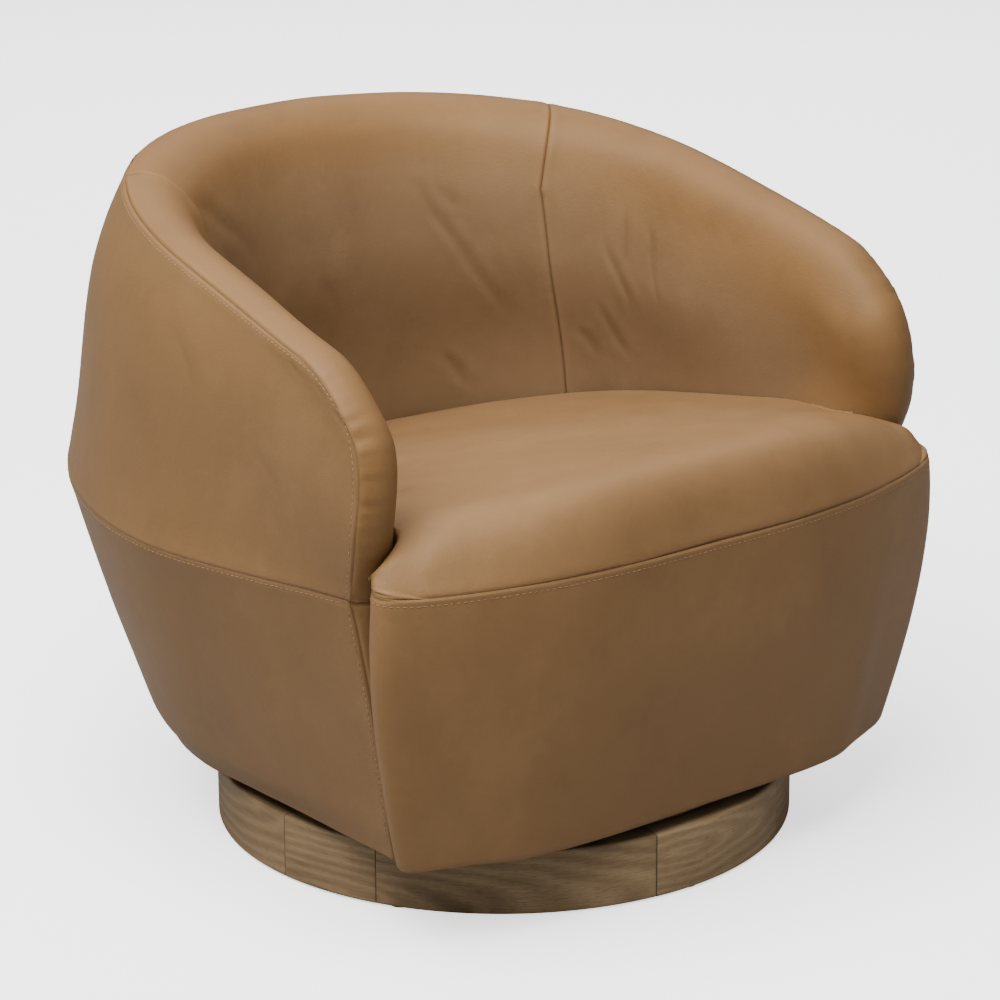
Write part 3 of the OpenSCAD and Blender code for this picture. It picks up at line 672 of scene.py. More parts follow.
def sew(name, line, piece, body, radius=.40, length=4.3, mat=None):
    """A row of thread stitches lying in the surface of a piece, along a line."""
    tree = kdtree.KDTree(len(piece.V))
    for i, q in enumerate(piece.V):
        tree.insert(Vector(q), i)
    tree.balance()
    rng = np.random.RandomState(len(name) * 7 + int(line.length))
    n = int((line.length - 4) / PITCH)
    prof = [(-.5, -.55, .5), (-.36, .02, .9), (0, .16, 1.05), (.36, .02, .9), (.5, -.55, .5)]
    V, F = [], []
    for i in range(n):
        c = 2 + (i + .5) * PITCH
        ln = length * (1 + .06 * rng.randn())
        rings = []
        for f, h, k in prof:
            j = min(len(line.s) - 1, max(0, int(round((c + f * ln) / (line.s[1] - line.s[0])))))
            _, idx, _ = tree.find(Vector(line.p[j]))
            nn = piece.N[idx]
            base = line.p[j] + (piece.V2[idx] - piece.V[idx])
            t = line.t[j]
            b = unit(np.cross(nn, t))
            cc = base + nn * (h + .12) + b * .12 * rng.randn()
            rings.append([cc + (b * math.cos(a) + nn * math.sin(a)) * radius * k for a in np.linspace(0, 2 * math.pi, 7)[:-1]])
        o = len(V)
        for r in rings:
            V.extend(r)
        for a in range(len(rings) - 1):
            for q in range(6):
                F.append((o + a * 6 + q, o + a * 6 + (q + 1) % 6, o + (a + 1) * 6 + (q + 1) % 6, o + (a + 1) * 6 + q))
        F.append(tuple(o + q for q in range(5, -1, -1)))
        F.append(tuple(o + (len(rings) - 1) * 6 + q for q in range(6)))
    me = bpy.data.meshes.new(name)
    me.from_pydata((np.array(V) / 1000).tolist(), [], F)
    me.polygons.foreach_set("use_smooth", [True] * len(me.polygons))
    me.update()
    ob = bpy.data.objects.new(name, me)
    bpy.context.scene.collection.objects.link(ob)
    me.materials.append(mat or THREAD)
    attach(ob, body)
    return ob


upS, loS, rollS, innS = signed(up), signed(lo), signed(roll), signed(inn)
SPLIT = .30


def SU(q):
    """u of the seams between the inner panels, q 0 at the top seam, 1 at the lower edge."""
    return .367 + .06 * (1 - (1 - np.asarray(q, float)) ** 4)


s_all = np.concatenate([np.linspace(2, 1, 160), np.linspace(1, 0, 700)[1:]])
TOP_PTS = np.vstack([seam(s_all), mirror(seam(s_all[::-1][1:]))])
_k = ss(.96, 1.04, s_all)
_o = outward(seam(s_all), up(np.clip(s_all, 0, 1) - .006 * _k, np.clip(2 - s_all, 0, 1) - .012 * (1 - _k)), roll(s_all, .03))
L_TOP = Line(TOP_PTS, out=np.vstack([_o, mirror(_o[::-1][1:])]))
uu = np.linspace(-1, 1, 1200)
L_WAIST = Line(signed(W)(uu))
vv = np.linspace(0, 1, 200)
L_UPV = {k: Line(upS(np.full(200, k * SPLIT), vv)) for k in (1, -1)}
L_LOV = {k: Line(loS(np.full(200, k * SPLIT), vv)) for k in (1, -1)}
aa = np.linspace(-1, 1, 900)


def inner_uv(q):
    """q 0..1 down the inner face, first over the roll, then down to the lower edge."""
    return np.clip(q / QW, 0, 1), 1 - np.clip((q - QW) / (1 - QW), 0, 1)


QW = .28


def inner_surface(u, q):
    w, v = inner_uv(q)
    return np.where((np.broadcast_to(q, np.broadcast(u, q).shape) <= QW)[..., None], rollS(u, w), innS(u, v))


qq = np.linspace(0, 1, 400)
L_INV = {k: Line(inner_surface(k * SU(qq), qq)) for k in (1, -1)}


def top_stitch_upper():
    """Topstitch on the outer panel, a few mm from the arm and back seam."""
    off = 6.5
    v1 = 1 - off / 305
    u1 = 1 - off / 640
    vs = np.linspace(.02, v1, 120)
    us = np.linspace(u1, -u1, 1500)
    side = upS(np.full(120, u1), vs)
    top = upS(us, np.full(1500, v1))
    return Line(np.vstack([side, top[1:-1], mirror(side[::-1])]))


L_TOPST = top_stitch_upper()


def grid(fn, us, vs):
    U, V = np.meshgrid(us, vs, indexing="ij")
    return fn(U, V)


def creases(strokes, surface, V, seed=0):
    """Soft folds: each stroke is (points on the surface, depth mm, width mm)."""
    d, c = np.zeros(len(V)), np.zeros(len(V))
    for i, (pts, depth, width) in enumerate(strokes):
        pts = np.array(pts, float)
        k = np.linspace(0, len(pts) - 1, 40)
        a = np.interp(k, np.arange(len(pts)), pts[:, 0])
        b = np.interp(k, np.arange(len(pts)), pts[:, 1])
        line = Line(surface(a, b))
        lo_, hi_ = line.p.min(0) - 5 * width, line.p.max(0) + 5 * width
        near = np.where(((V > lo_) & (V < hi_)).all(1))[0]
        if not len(near):
            continue
        t, s = line.near(V[near])
        t = t + width * .35 * line_noise(s, 38, seed + i)
        end = np.minimum(s, line.length - s)
        fade = ss(0, .32 * line.length, end) * (.8 + .35 * line_noise(s, 55, seed + i + 9))
        over = np.exp(-(np.maximum(0, t - 0) / (6 * width)) ** 2)
        d[near] += depth * fade * over * (-gauss(t, width) + .62 * gauss(t - 2.0 * width, 1.25 * width))
        # painted shade along the bottom of each fold
        c[near] = np.maximum(c[near], .30 * fade * gauss(t, width * .55) * min(1, abs(depth)))
    return d, c


# the outer panels, upper and lower, a back and two sides each
def outer_upper(k):
    if k == 0:
        us = graded(-SPLIT, SPLIT, 830)
    else:
        us = k * graded(SPLIT, 1, 560)
        us = us if k > 0 else us[::-1]
    vs = graded(0, 1, 312)
    name = {0: "upper_back_leather", 1: "upper_right_leather", -1: "upper_left_leather"}[k]
    edges = [(L_TOP, dict(deep=1.6, w=1.8, puff=.5, pucker=.16, seed=1, dark=.5)), (L_WAIST, dict(deep=.9, w=1.6, puff=.4, pucker=.16, seed=2, wave=12, dark=.35))]
    for q in ((1, -1) if k == 0 else (k,)):
        edges.append((L_UPV[q], dict(deep=1.9, w=1.8, puff=.4, pucker=.15, seed=4)))
    v1, u1 = 1 - 6.5 / 305, 1 - 6.5 / 640
    if k == 0:
        us_ = np.linspace(-SPLIT + .004, SPLIT - .004, 800)
        st = [Line(upS(us_, np.full(800, v1)))]
        for q in (1, -1):
            st.append(Line(upS(np.full(200, q * (SPLIT - 5.5 / 1180)), np.linspace(.015, v1 - .012, 200))))
    else:
        a = upS(np.full(200, k * u1), np.linspace(.02, v1, 200))
        b = upS(k * np.linspace(u1, SPLIT + .006, 800), np.full(800, v1))
        st = [Line(np.vstack([a, b[1:]]))]

    def extra(V, N):
        d, c = np.zeros(len(V)), np.zeros(len(V))
        if k:
            d, c = creases(OUTER_FOLDS[k], upS, V, 40 + k)
        return d, c
    return leather_piece(name, [(grid(upS, us, vs), True)], edges, st, extra, 3.0,
                         [{0: "upper_cover_back", 1: "upper_cover_right", -1: "upper_cover_left"}[k]], seed=20 + k, uneven=.9)


def outer_lower(k):
    if k == 0:
        us = graded(-SPLIT, SPLIT, 760)
    else:
        us = k * graded(SPLIT, 1, 540)
        us = us if k > 0 else us[::-1]
    vs = graded(0, 1, 280)
    name = {0: "lower_back_leather", 1: "lower_right_leather", -1: "lower_left_leather"}[k]
    edges = [(L_WAIST, dict(deep=.9, w=1.6, puff=.5, pucker=.2, seed=2, wave=12, dark=.25))]
    for q in ((1, -1) if k == 0 else (k,)):
        edges.append((L_LOV[q], dict(deep=1.9, w=1.8, puff=.4, pucker=.15, seed=5)))
    if k:
        edges.append((L_LOF[k], dict(deep=2.6, w=2.6, puff=.6, pucker=.25, seed=6)))
    v1 = 4.2 / 275
    if k == 0:
        us_ = np.linspace(-SPLIT + .004, SPLIT - .004, 800)
        st = [Line(loS(us_, np.full(800, v1)))]
        for q in (1, -1):
            st.append(Line(loS(np.full(200, q * (SPLIT - 5.5 / 1100)), np.linspace(.04, .985, 200))))
    else:
        st = [Line(loS(k * np.linspace(SPLIT + .005, .985, 900), np.full(900, v1))),
              Line(loS(np.full(260, k * (1 - 6.8 / 690)), np.linspace(.03, .97, 260)))]
    return leather_piece(name, [(grid(loS, us, vs), False)], edges, st, None, 3.0,
                         [{0: "lower_cover_back", 1: "lower_cover_right", -1: "lower_cover_left"}[k]], seed=30 + k, uneven=.8)


# folds: points as (u, v) on the outer panels, (u, q) on the inner faces, (a, f) on the seat; then depth and width in mm
OUTER_FOLDS = {1: [([(.885, .962), (.900, .925), (.905, .890)], .8, 3), ([(.945, .960), (.950, .915), (.945, .880)], .9, 3), ([(.975, .930), (.972, .880), (.962, .840)], .8, 3)],
               -1: [([(-.885, .962), (-.897, .930), (-.900, .900)], .8, 2.6), ([(-.935, .960), (-.944, .925), (-.945, .890)], .9, 2.8), ([(-.972, .935), (-.975, .890), (-.970, .850)], .9, 3),
                    ([(-.62, .80), (-.66, .70), (-.68, .58)], .7, 9), ([(-.80, .55), (-.84, .42), (-.86, .28)], .6, 8)]}
HOLLOW = ([(-.43, .13), (-.39, .205), (-.30, .26), (-.22, .34), (-.18, .41), (-.155, .47)], 1.2, 10)
BACK_FOLDS = [([(.155, .27), (.20, .32), (.22, .39), (.26, .47), (.30, .565), (.33, .64), (.345, .69)], 1.5, 5.5),
              ([(.22, .77), (.25, .84), (.27, .90)], 1.2, 6),
              ([(.22, .295), (.245, .34), (.27, .37)], .7, 6), HOLLOW,
              ([(-.02, .50), (.02, .60), (.05, .70)], .6, 9), ([(-.20, .60), (-.17, .70), (-.15, .78)], .8, 8)]
ARM_FOLDS = {1: [([(.563, .27), (.563, .345), (.56, .426), (.55, .486)], 1.3, 4.5),
                 ([(.52, .36), (.53, .43), (.547, .485), (.561, .545), (.563, .63)], 1.4, 4.5),
                 ([(.60, .27), (.613, .34), (.614, .41), (.62, .51), (.62, .59)], 1.2, 4.5),
                 ([(.498, .575), (.514, .65), (.528, .71), (.544, .76)], 1.2, 5.5),
                 ([(.454, .67), (.477, .72), (.492, .777)], .9, 5.5),
                 ([(.74, .418), (.77, .411), (.79, .412)], .3, 2)],
             -1: [HOLLOW, ([(-.52, .40), (-.535, .50), (-.55, .62)], 1.0, 5), ([(-.60, .32), (-.61, .42), (-.615, .52)], .9, 4.5),
                  ([(-.47, .55), (-.49, .66), (-.50, .74)], .8, 5)]}
SEAT_FOLDS = []


_s = np.linspace(1.80, 0, 700)
L_LIP = Line(np.vstack([roll(_s, 1.0), mirror(roll(_s[::-1][1:], 1.0))]))


# the seam on the left lies flatter than the one on the right
SEAM_IN = {1: dict(deep=1.1, w=1.3, puff=.5, pucker=.2, seed=8, wave=14, dark=.5), -1: dict(deep=1.0, w=1.9, puff=.4, pucker=.12, seed=8, wave=14, dark=.5)}


def inner_back():
    ts = graded(-1, 1, 700)
    q = np.concatenate([QW * graded(0, 1, 96, fine=(True, False))[:-1], QW + (1 - QW) * graded(0, 1, 300, fine=(False, False))])
    T, Q = np.meshgrid(ts, q, indexing="ij")
    U = T * SU(Q)
    P = inner_surface(U, Q)
    edges = [(L_TOP, dict(deep=1.6, w=1.8, puff=.7, pucker=.22, seed=1, dark=.5))]
    for k in (1, -1):
        edges.append((L_INV[k], SEAM_IN[k]))

    def extra(V, N):
        d, c = creases(BACK_FOLDS, inner_surface, V, 60)
        # fullness of the foam between crest and seat
        t = np.minimum(L_TOP.near(V)[0], np.minimum(L_INV[1].near(V)[0], L_INV[-1].near(V)[0]))
        return d + 1.2 * perlin(V * np.array([1, 1, .6]), 95, 71) * ss(0, 24, t), c

    def depth(V):
        t = np.minimum(L_TOP.near(V)[0], np.minimum(L_INV[1].near(V)[0], L_INV[-1].near(V)[0]))
        return 4 + 13 * ss(4, 50, t)
    return leather_piece("inner_back_leather", [(P, True)], edges, (), extra, depth, ["inner_back_cover", "back_foam"], seed=51, soften=(L_LIP, 30, 90))




def arm(k):
    ws = graded(0, 1, 84, step=3.2, fine=(True, False))
    v = 1 - graded(0, 1, 250, step=3.4, fine=(False, True))
    tu = graded(0, 1, 470, fine=(True, False))
    q = np.concatenate([QW * ws[:-1], QW + (1 - QW) * (1 - v)])
    T, Q = np.meshgrid(tu, q, indexing="ij")
    U = SU(Q) * (1 - T) + T
    P = inner_surface(U, Q)
    P2 = grid(roll, 2 - v, ws)
    if k < 0:
        P, P2 = mirror(P), mirror(P2)
    side = {1: "right", -1: "left"}[k]
    edges = [(L_TOP, dict(deep=1.6, w=1.8, puff=.8, pucker=.24, seed=1, dark=.5)),
             (L_INV[k], SEAM_IN[k]),
             (L_ARMF[k], dict(deep=1.6, w=1.8, puff=.3, pucker=.2, seed=12))]

    def extra(V, N):
        d, c = creases(ARM_FOLDS[k], lambda a, b: inner_surface(a, b) if k > 0 else mirror(inner_surface(np.abs(a), b)), V, 80 + k)
        # gathers where the leather is eased round the front of the arm
        t, s = L_TOP.near(V)
        m = np.exp(-(np.linalg.norm(V - np.array([k * 345, -205, 500]), axis=1) / 85) ** 2)
        g = line_noise(s, 13, 33 + k) + .6 * line_noise(s, 8, 37 + k)
        d = d + 1.7 * m * g * ss(0, 5, t) * np.exp(-(t / 24) ** 1.5)
        # painted shade in the hollows of the gathers
        c = np.maximum(c, .22 * m * np.clip(-g, 0, 1) * ss(0, 3, t) * np.exp(-t / 12))
        t2 = np.minimum(t, L_INV[k].near(V)[0])
        return d + 1.0 * perlin(V, 88, 75) * ss(0, 24, t2), c

    def depth(V):
        t = np.minimum(L_TOP.near(V)[0], L_INV[k].near(V)[0])
        return 4 + 9 * ss(4, 40, t)
    return leather_piece(f"inner_{side}_leather", [(P, k > 0), (P2, k > 0)], edges, (), extra, depth,
                         [f"inner_cover_{side}", f"arm_foam_{side}", f"arm_front_foam_{side}"], seed=55 + k, soften=(L_LIP, 36, 110))


def seat_surface(a, f):
    a, f = np.broadcast_arrays(np.asarray(a, float), np.asarray(f, float))
    ua, inv = np.unique(np.abs(a), return_inverse=True)
    Fp = block(ua, 0.0)[inv.reshape(a.shape)]
    Kp = meet(np.minimum(ua, .95))[inv.reshape(a.shape)]
    x = Fp[..., 0] * (1 - f) + Kp[..., 0] * f
    y = Fp[..., 1] * (1 - f) + Kp[..., 1] * f
    g = Fp[..., 2] - seat_top(Fp[..., 0], Fp[..., 1])
    h = Kp[..., 2] - seat_top(Kp[..., 0], Kp[..., 1])
    z = seat_top(x, y) + g * (1 - ss(0, .25, f)) + h * ss(.7, 1, f)
    dk = np.hypot(x - Kp[..., 0], y - Kp[..., 1])
    span = np.hypot(Fp[..., 0] - Kp[..., 0], Fp[..., 1] - Kp[..., 1])
    z = z - 15 * (1 - ss(0, 15, dk)) ** 1.6 * ss(5, 60, span)
    flat = Fp[..., 2] * (1 - f) + Kp[..., 2] * f
    z = flat + (z - flat) * ss(14, 45, span)
    # the corners in front of the arms are filled full
    ear = ss(.60, .78, np.abs(a)) * (1 - ss(.93, 1, np.abs(a)))
    z = z + 11 * ear * np.sqrt(np.sin(np.pi * np.clip(f, 0, 1) ** .8).clip(0)) * (1 - ss(.3, .8, f))
    z = z + (flat - z) * ss(.982, 1, np.abs(a))
    return vec(np.where(a < 0, -x, x), y, z)


L_SEAT = Line(block(aa, 0.0), out=outward(block(aa, 0.0), seat_surface(aa, .012), block(aa, .008)))
L_MEET = Line(np.vstack([meet(np.linspace(1, 0, 500)), mirror(meet(np.linspace(0, 1, 500)[1:]))]))


def seat():
    h = np.concatenate([graded(0, .57, 600, fine=(False, False)), graded(.57, 1, 330, step=2.4, fine=(False, False))[1:]])
    a = np.concatenate([-h[::-1], h[1:]])
    f = np.concatenate([graded(0, .12, 66, step=3.2, fine=(True, False))[:-1], graded(.12, 1, 520, fine=(False, True))])
    P = grid(seat_surface, a, f)
    edges = [(L_SEAT, dict(deep=.9, w=1.6, puff=.5, pucker=.12, seed=15, wave=13, dark=.6))]

    def extra(V, N):
        d, c = creases(SEAT_FOLDS, seat_surface, V, 90)
        t, _ = L_MEET.near(V)
        # painted contact shadow along the line where the seat meets the inner faces
        return (d + 1.1 * perlin(V, 120, 77)) * ss(4, 40, t), np.maximum(c, .45 * gauss(t, 3.5))

    def depth(V):
        t = np.minimum(L_SEAT.near(V)[0], L_MEET.near(V)[0])
        return 1.5 + 28.5 * ss(3, 60, t)
    return leather_piece("seat_leather", [(P, False)], edges, (), extra, depth, ["seat_cover", "seat_foam"], seed=44, uneven=.7)


def front_surface(a, v):
    """The front panel and the return of its ends into the gaps beside it (a beyond 1)."""
    a, v = np.broadcast_arrays(np.asarray(a, float), np.asarray(v, float))
    P = block(np.clip(a, -1, 1), v)
    e = np.clip(np.abs(a) - 1, 0, None) * 1000   # mm past the end
    turn = ss(0, 9, e)
    dx = -(.80 * e + .20 * e * turn)
    dy = .55 * np.minimum(e, 9) + .12 * e * turn
    P[..., 0] += np.sign(a) * dx
    P[..., 1] += dy
    return P


L_END = [Line(front_surface(np.full(200, q), np.linspace(0, 1, 200))) for q in (1.0, -1.0)]


def front():
    e = [1.002, 1.004, 1.0065, 1.010, 1.014, 1.019, 1.025, 1.032]
    h = graded(0, 1, 445, fine=(False, False))
    a = np.concatenate([-np.array(e[::-1]), -h[::-1], h[1:], e])
    v = graded(0, 1, 290)
    P = grid(front_surface, a, v)
    edges = [(L_SEAT, dict(deep=.9, w=1.3, puff=.3, pucker=.12, seed=16, wave=13, dark=.4))]
    st = [Line(front_surface(np.linspace(-.995, .995, 1200), np.full(1200, 7.0 / 288)))]

    def extra(V, N):
        t, s = L_SEAT.near(V)
        d = .4 * gauss(t - 2.9, 1.7)
        # hem at the foot
        d = d - 1.6 * gauss(V[:, 2] - FOOT, 3)
        c = np.zeros(len(V))
        # painted shade on the ends that turn back into the gaps beside the panel
        for line in L_END:
            t2, s2 = line.near(V)
            y_ = np.interp(s2, line.s, line.p[:, 1])
            c = np.maximum(c, .9 * ss(1.5, 9, t2) * (V[:, 1] > y_) * (t2 < 40))
        return d + .8 * perlin(V, 130, 78) * ss(0, 30, t), c

    def depth(V):
        t = L_SEAT.near(V)[0]
        end = np.minimum(t, V[:, 2] - FOOT)
        return 3 + 8 * ss(3, 35, end) * ss(-214, -240, V[:, 1])
    return leather_piece("front_leather", [(P, True)], edges, st, extra, depth, ["front_cover", "front_foam"], seed=47, uneven=.7)


def strip_surface(v, w):
    """Strip that faces the front edge of a side below the arm, v 0 at the arm, 1 at the foot."""
    v, w = np.broadcast_arrays(np.asarray(v, float), np.asarray(w, float))
    p = lo(np.ones_like(v), v)
    q = look(T_F, w)
    k = ss(0, .45, v)
    n = q[..., 0] * (1 - .12 * v)
    m = q[..., 1] * (1 - k) + k * (5 * np.sin(np.pi * np.clip(w * 1.6, 0, 1)) - 7 * w)
    return vec(p[..., 0] - n, p[..., 1] - m, p[..., 2])


L_LOF, L_ARMF = {}, {}
for k in (1, -1):
    w_ = np.linspace(0, 1, 160)
    m_ = (lambda P: P) if k > 0 else mirror
    p_, q_ = m_(lo(np.ones(200), vv)), m_(roll(np.full(160, 2.0), w_))
    L_LOF[k] = Line(p_, out=outward(p_, m_(lo(np.full(200, .994), vv)), m_(strip_surface(vv, np.full(200, .03)))))
    L_ARMF[k] = Line(q_, out=outward(q_, m_(roll(np.full(160, 1.975), w_)), m_(strip_surface(np.full(160, .02), w_))))


def strip(k):
    v = graded(0, 1, 274)
    w = graded(0, 1, 64, step=3.0, fine=(True, False))
    P = grid(strip_surface, v, w)
    if k < 0:
        P = mirror(P)
    side = {1: "right", -1: "left"}[k]
    edges = [(L_LOF[k], dict(deep=2.6, w=2.2, puff=.4, pucker=.25, seed=6)), (L_ARMF[k], dict(deep=1.6, w=1.8, puff=.3, pucker=.2, seed=12))]

    def extra(V, N):
        # painted shade on the strip, darker deeper into the gap behind the front edge
        return np.zeros(len(V)), .85 * ss(12, 40, L_LOF[k].near(V)[0])
    return leather_piece(f"strip_{side}_leather", [(P, k > 0)], edges, (), extra, 3.0, [f"side_facing_{side}"], seed=65 + k, uneven=.4)


for k in (0, 1, -1):
    outer_upper(k)
    outer_lower(k)
inner_back()
for k in (1, -1):
    arm(k)
    strip(k)
seat()
front()


# ---------------------------------------------------------------- plinth of staves
JOINTS = [-176, -154, -99, -61, -20, 20, 58, 100, 142]


def stave_material():
    m, nt, bs = new_mat("plinth_wood")
    st = attr(nt, "st").outputs["Vector"]
    sid = attr(nt, "sid").outputs["Fac"]
    sep = node(nt, "SeparateXYZ")
    nt.links.new(st, sep.inputs[0])
    x, z, r = sep.outputs
    off = math_(nt, "MULTIPLY", sid, 1.37)
    comb = node(nt, "CombineXYZ")
    nt.links.new(math_(nt, "ADD", x, off), comb.inputs[0])
    nt.links.new(z, comb.inputs[1])
    nt.links.new(math_(nt, "ADD", r, math_(nt, "MULTIPLY", sid, .31)), comb.inputs[2])
    P = comb.outputs[0]
    warp = tex_noise(nt, mapped(nt, P, (5.0, 13, 13)), 1.0, 2.0, .5, .2)
    warp2 = tex_noise(nt, mapped(nt, P, (14, 40, 40)), 1.0, 2.0, .5, .3)
    # growth rings: long ellipses along the grain, or nearly straight lines
    ex = math_(nt, "MULTIPLY", math_(nt, "SUBTRACT", x, math_(nt, "MULTIPLY", math_(nt, "SINE", math_(nt, "MULTIPLY", sid, 2.3)), .06)), .17)
    ez = math_(nt, "SUBTRACT", z, math_(nt, "ADD", .03, math_(nt, "MULTIPLY", math_(nt, "SINE", math_(nt, "MULTIPLY", sid, 5.1)), .035)))
    rr = math_(nt, "SQRT", math_(nt, "ADD", math_(nt, "MULTIPLY", ex, ex), math_(nt, "MULTIPLY", ez, ez)))
    ring = math_(nt, "ADD", math_(nt, "MULTIPLY", rr, 620), math_(nt, "MULTIPLY", warp, 13))
    ring = math_(nt, "ADD", ring, math_(nt, "MULTIPLY", warp2, 3.2))
    band = math_(nt, "MULTIPLY", math_(nt, "ADD", math_(nt, "SINE", ring), 1), .5)
    band = math_(nt, "POWER", band, 1.3)
    streak = tex_noise(nt, mapped(nt, P, (22, 900, 900)), 1.0, 3.0, .6)
    fibre = tex_noise(nt, mapped(nt, P, (60, 2600, 2600)), 1.0, 2.0, .6)
    pores = ramp(nt, tex_noise(nt, mapped(nt, P, (95, 2300, 2300)), 1.0, 2.0, .5), [(.56, (0, 0, 0)), (.66, (1, 1, 1))])
    cloud = tex_noise(nt, mapped(nt, P, (7, 22, 22)), 1.0, 2.0)
    tone = math_(nt, "ADD", math_(nt, "MULTIPLY", band, .15), math_(nt, "MULTIPLY", streak, .50))
    tone = math_(nt, "ADD", tone, math_(nt, "MULTIPLY", cloud, .38))
    per = math_(nt, "MULTIPLY", math_(nt, "SINE", math_(nt, "MULTIPLY", sid, 12.9)), .10)
    tone = math_(nt, "ADD", tone, per)
    col = ramp(nt, tone, [(.28, (.098, .058, .024)), (.44, (.168, .105, .048)), (.60, (.230, .150, .072)), (.78, (.300, .205, .105))])
    col = mixc(nt, math_(nt, "MULTIPLY", pores, .45), col, (.040, .025, .013))
    # dark lines at the stave joints
    edge = attr(nt, "painted_shade_and_joint").outputs["Fac"]
    col = mixc(nt, math_(nt, "MULTIPLY", edge, .8, clamp=True), col, (.028, .017, .010))
    nt.links.new(col, bs.inputs["Base Color"])
    h = math_(nt, "ADD", math_(nt, "MULTIPLY", fibre, .5), math_(nt, "SUBTRACT", math_(nt, "MULTIPLY", streak, .6), math_(nt, "MULTIPLY", pores, .7)))
    nt.links.new(bump(nt, h, .0004, .55), bs.inputs["Normal"])
    nt.links.new(math_(nt, "ADD", .50, math_(nt, "MULTIPLY", streak, .18)), bs.inputs["Roughness"])
    bs.inputs["Specular IOR Level"].default_value = .35
    return m


def staves():
    R, T, z0, z1 = 300.0, 28.0, 1.5, 68.0
    rim = [(R - T, z0), (R - 2.2, z0), (R - 1.2, z0 + .3), (R - .3, z0 + 1.2), (R, z0 + 2.4)]
    rim += [(R, z) for z in np.linspace(z0 + 5, z1 - 6, 22)]
    rim += [(R, z1 - 3.2), (R - .25, z1 - 1.8), (R - .9, z1 - .8), (R - 1.9, z1 - .2), (R - 3.2, z1)]
    rim += [(r, z1) for r in np.linspace(R - 6, R - T, 7)]
    rim += [(R - T, z) for z in np.linspace(z1 - 8, z0 + 8, 6)]
    rim = np.array(rim)
    m = len(rim)
    V, F, st, sid, cr = [], [], [], [], []
    rng = np.random.RandomState(5)
    for i, a in enumerate(JOINTS):
        b = JOINTS[i + 1] if i + 1 < len(JOINTS) else JOINTS[0] + 360
        L = math.radians(b - a) * R
        arc = graded(0, 1, L, step=3.4, edge=(0, .35, .8, 1.6, 3.0, 5.5)) * L
        arc = np.clip(arc, .06, L - .06)
        off = len(V)
        proud = .10 * rng.randn()
        for s in arc:
            e = min(s, L - s)
            th = math.radians(a) + s / R
            dip = .55 * math.exp(-(e / .7) ** 2)
            for r, z in rim:
                outer = r > R - 4
                w = float(line_noise(np.array([s + 40 * i]), 60, 9)[0]) * .12 if outer else 0
                rr = r + (proud + w - dip if outer else 0)
                V.append((rr * math.cos(th), rr * math.sin(th), z - (dip * .6 if z > z1 - 4 else 0)))
                st.append((s / 1000, z / 1000, (R - r) / 1000))
                sid.append(i + 1.0)
                cr.append(min(1, math.exp(-(e / .55) ** 2)))
        n = len(arc)
        for p in range(n - 1):
            for q in range(m):
                q2 = (q + 1) % m
                F.append((off + p * m + q, off + (p + 1) * m + q, off + (p + 1) * m + q2, off + p * m + q2))
        F.append(tuple(off + q for q in range(m)))
        F.append(tuple(off + (n - 1) * m + q for q in range(m - 1, -1, -1)))
    me = bpy.data.meshes.new("plinth_staves_wood")
    me.from_pydata((np.array(V) / 1000).tolist(), [], F)
    me.polygons.foreach_set("use_smooth", [len(p.vertices) == 4 for p in me.polygons])
    for nm, data in (("sid", sid), ("painted_shade_and_joint", cr)):
        at = me.attributes.new(nm, "FLOAT", "POINT")
        at.data.foreach_set("value", np.array(data, np.float32))
    at = me.attributes.new("st", "FLOAT_VECTOR", "POINT")
    at.data.foreach_set("vector", np.array(st, np.float32).reshape(-1))
    me.update()
    o = bpy.data.objects.new("plinth_staves_wood", me)
    bpy.context.scene.collection.objects.link(o)
    me.materials.append(stave_material())
    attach(o, "base")
    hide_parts("plinth_staves")


staves()


# ---------------------------------------------------------------- materials of the hidden frame and hardware
def timber_material(name, a, b, scale=(3, 30, 30)):
    m, nt, bs = new_mat(name)
    co = node(nt, "TexCoord").outputs["Object"]
    n1 = tex_noise(nt, mapped(nt, co, scale), 1.0, 3.0, .55, .6)
    w = nt.nodes.new("ShaderNodeTexWave")
    w.wave_type = "BANDS"
    w.bands_direction = "Y"
    w.inputs["Scale"].default_value = 24
    w.inputs["Distortion"].default_value = 5
    w.inputs["Detail"].default_value = 2
    nt.links.new(mapped(nt, co, (.4, 1, 1)), w.inputs["Vector"])
    f = math_(nt, "ADD", math_(nt, "MULTIPLY", n1, .7), math_(nt, "MULTIPLY", w.outputs["Fac"], .3))
    nt.links.new(ramp(nt, f, [(.3, b), (.62, a)]), bs.inputs["Base Color"])
    nt.links.new(bump(nt, f, .0004, .4), bs.inputs["Normal"])
    nt.links.new(math_(nt, "ADD", .55, math_(nt, "MULTIPLY", n1, .2)), bs.inputs["Roughness"])
    return m


def metal_material(name, colour, rough, brushed=120.0):
    m, nt, bs = new_mat(name)
    co = node(nt, "TexCoord").outputs["Object"]
    n = tex_noise(nt, mapped(nt, co, (brushed, 8, brushed)), 1.0, 2.0)
    n2 = tex_noise(nt, co, 35, 3.0)
    nt.links.new(ramp(nt, n2, [(.3, tuple(c * .82 for c in colour)), (.7, colour)]), bs.inputs["Base Color"])
    nt.links.new(math_(nt, "ADD", rough, math_(nt, "MULTIPLY", n, .15)), bs.inputs["Roughness"])
    nt.links.new(bump(nt, n, .0001, .3), bs.inputs["Normal"])
    bs.inputs["Metallic"].default_value = 1.0
    return m


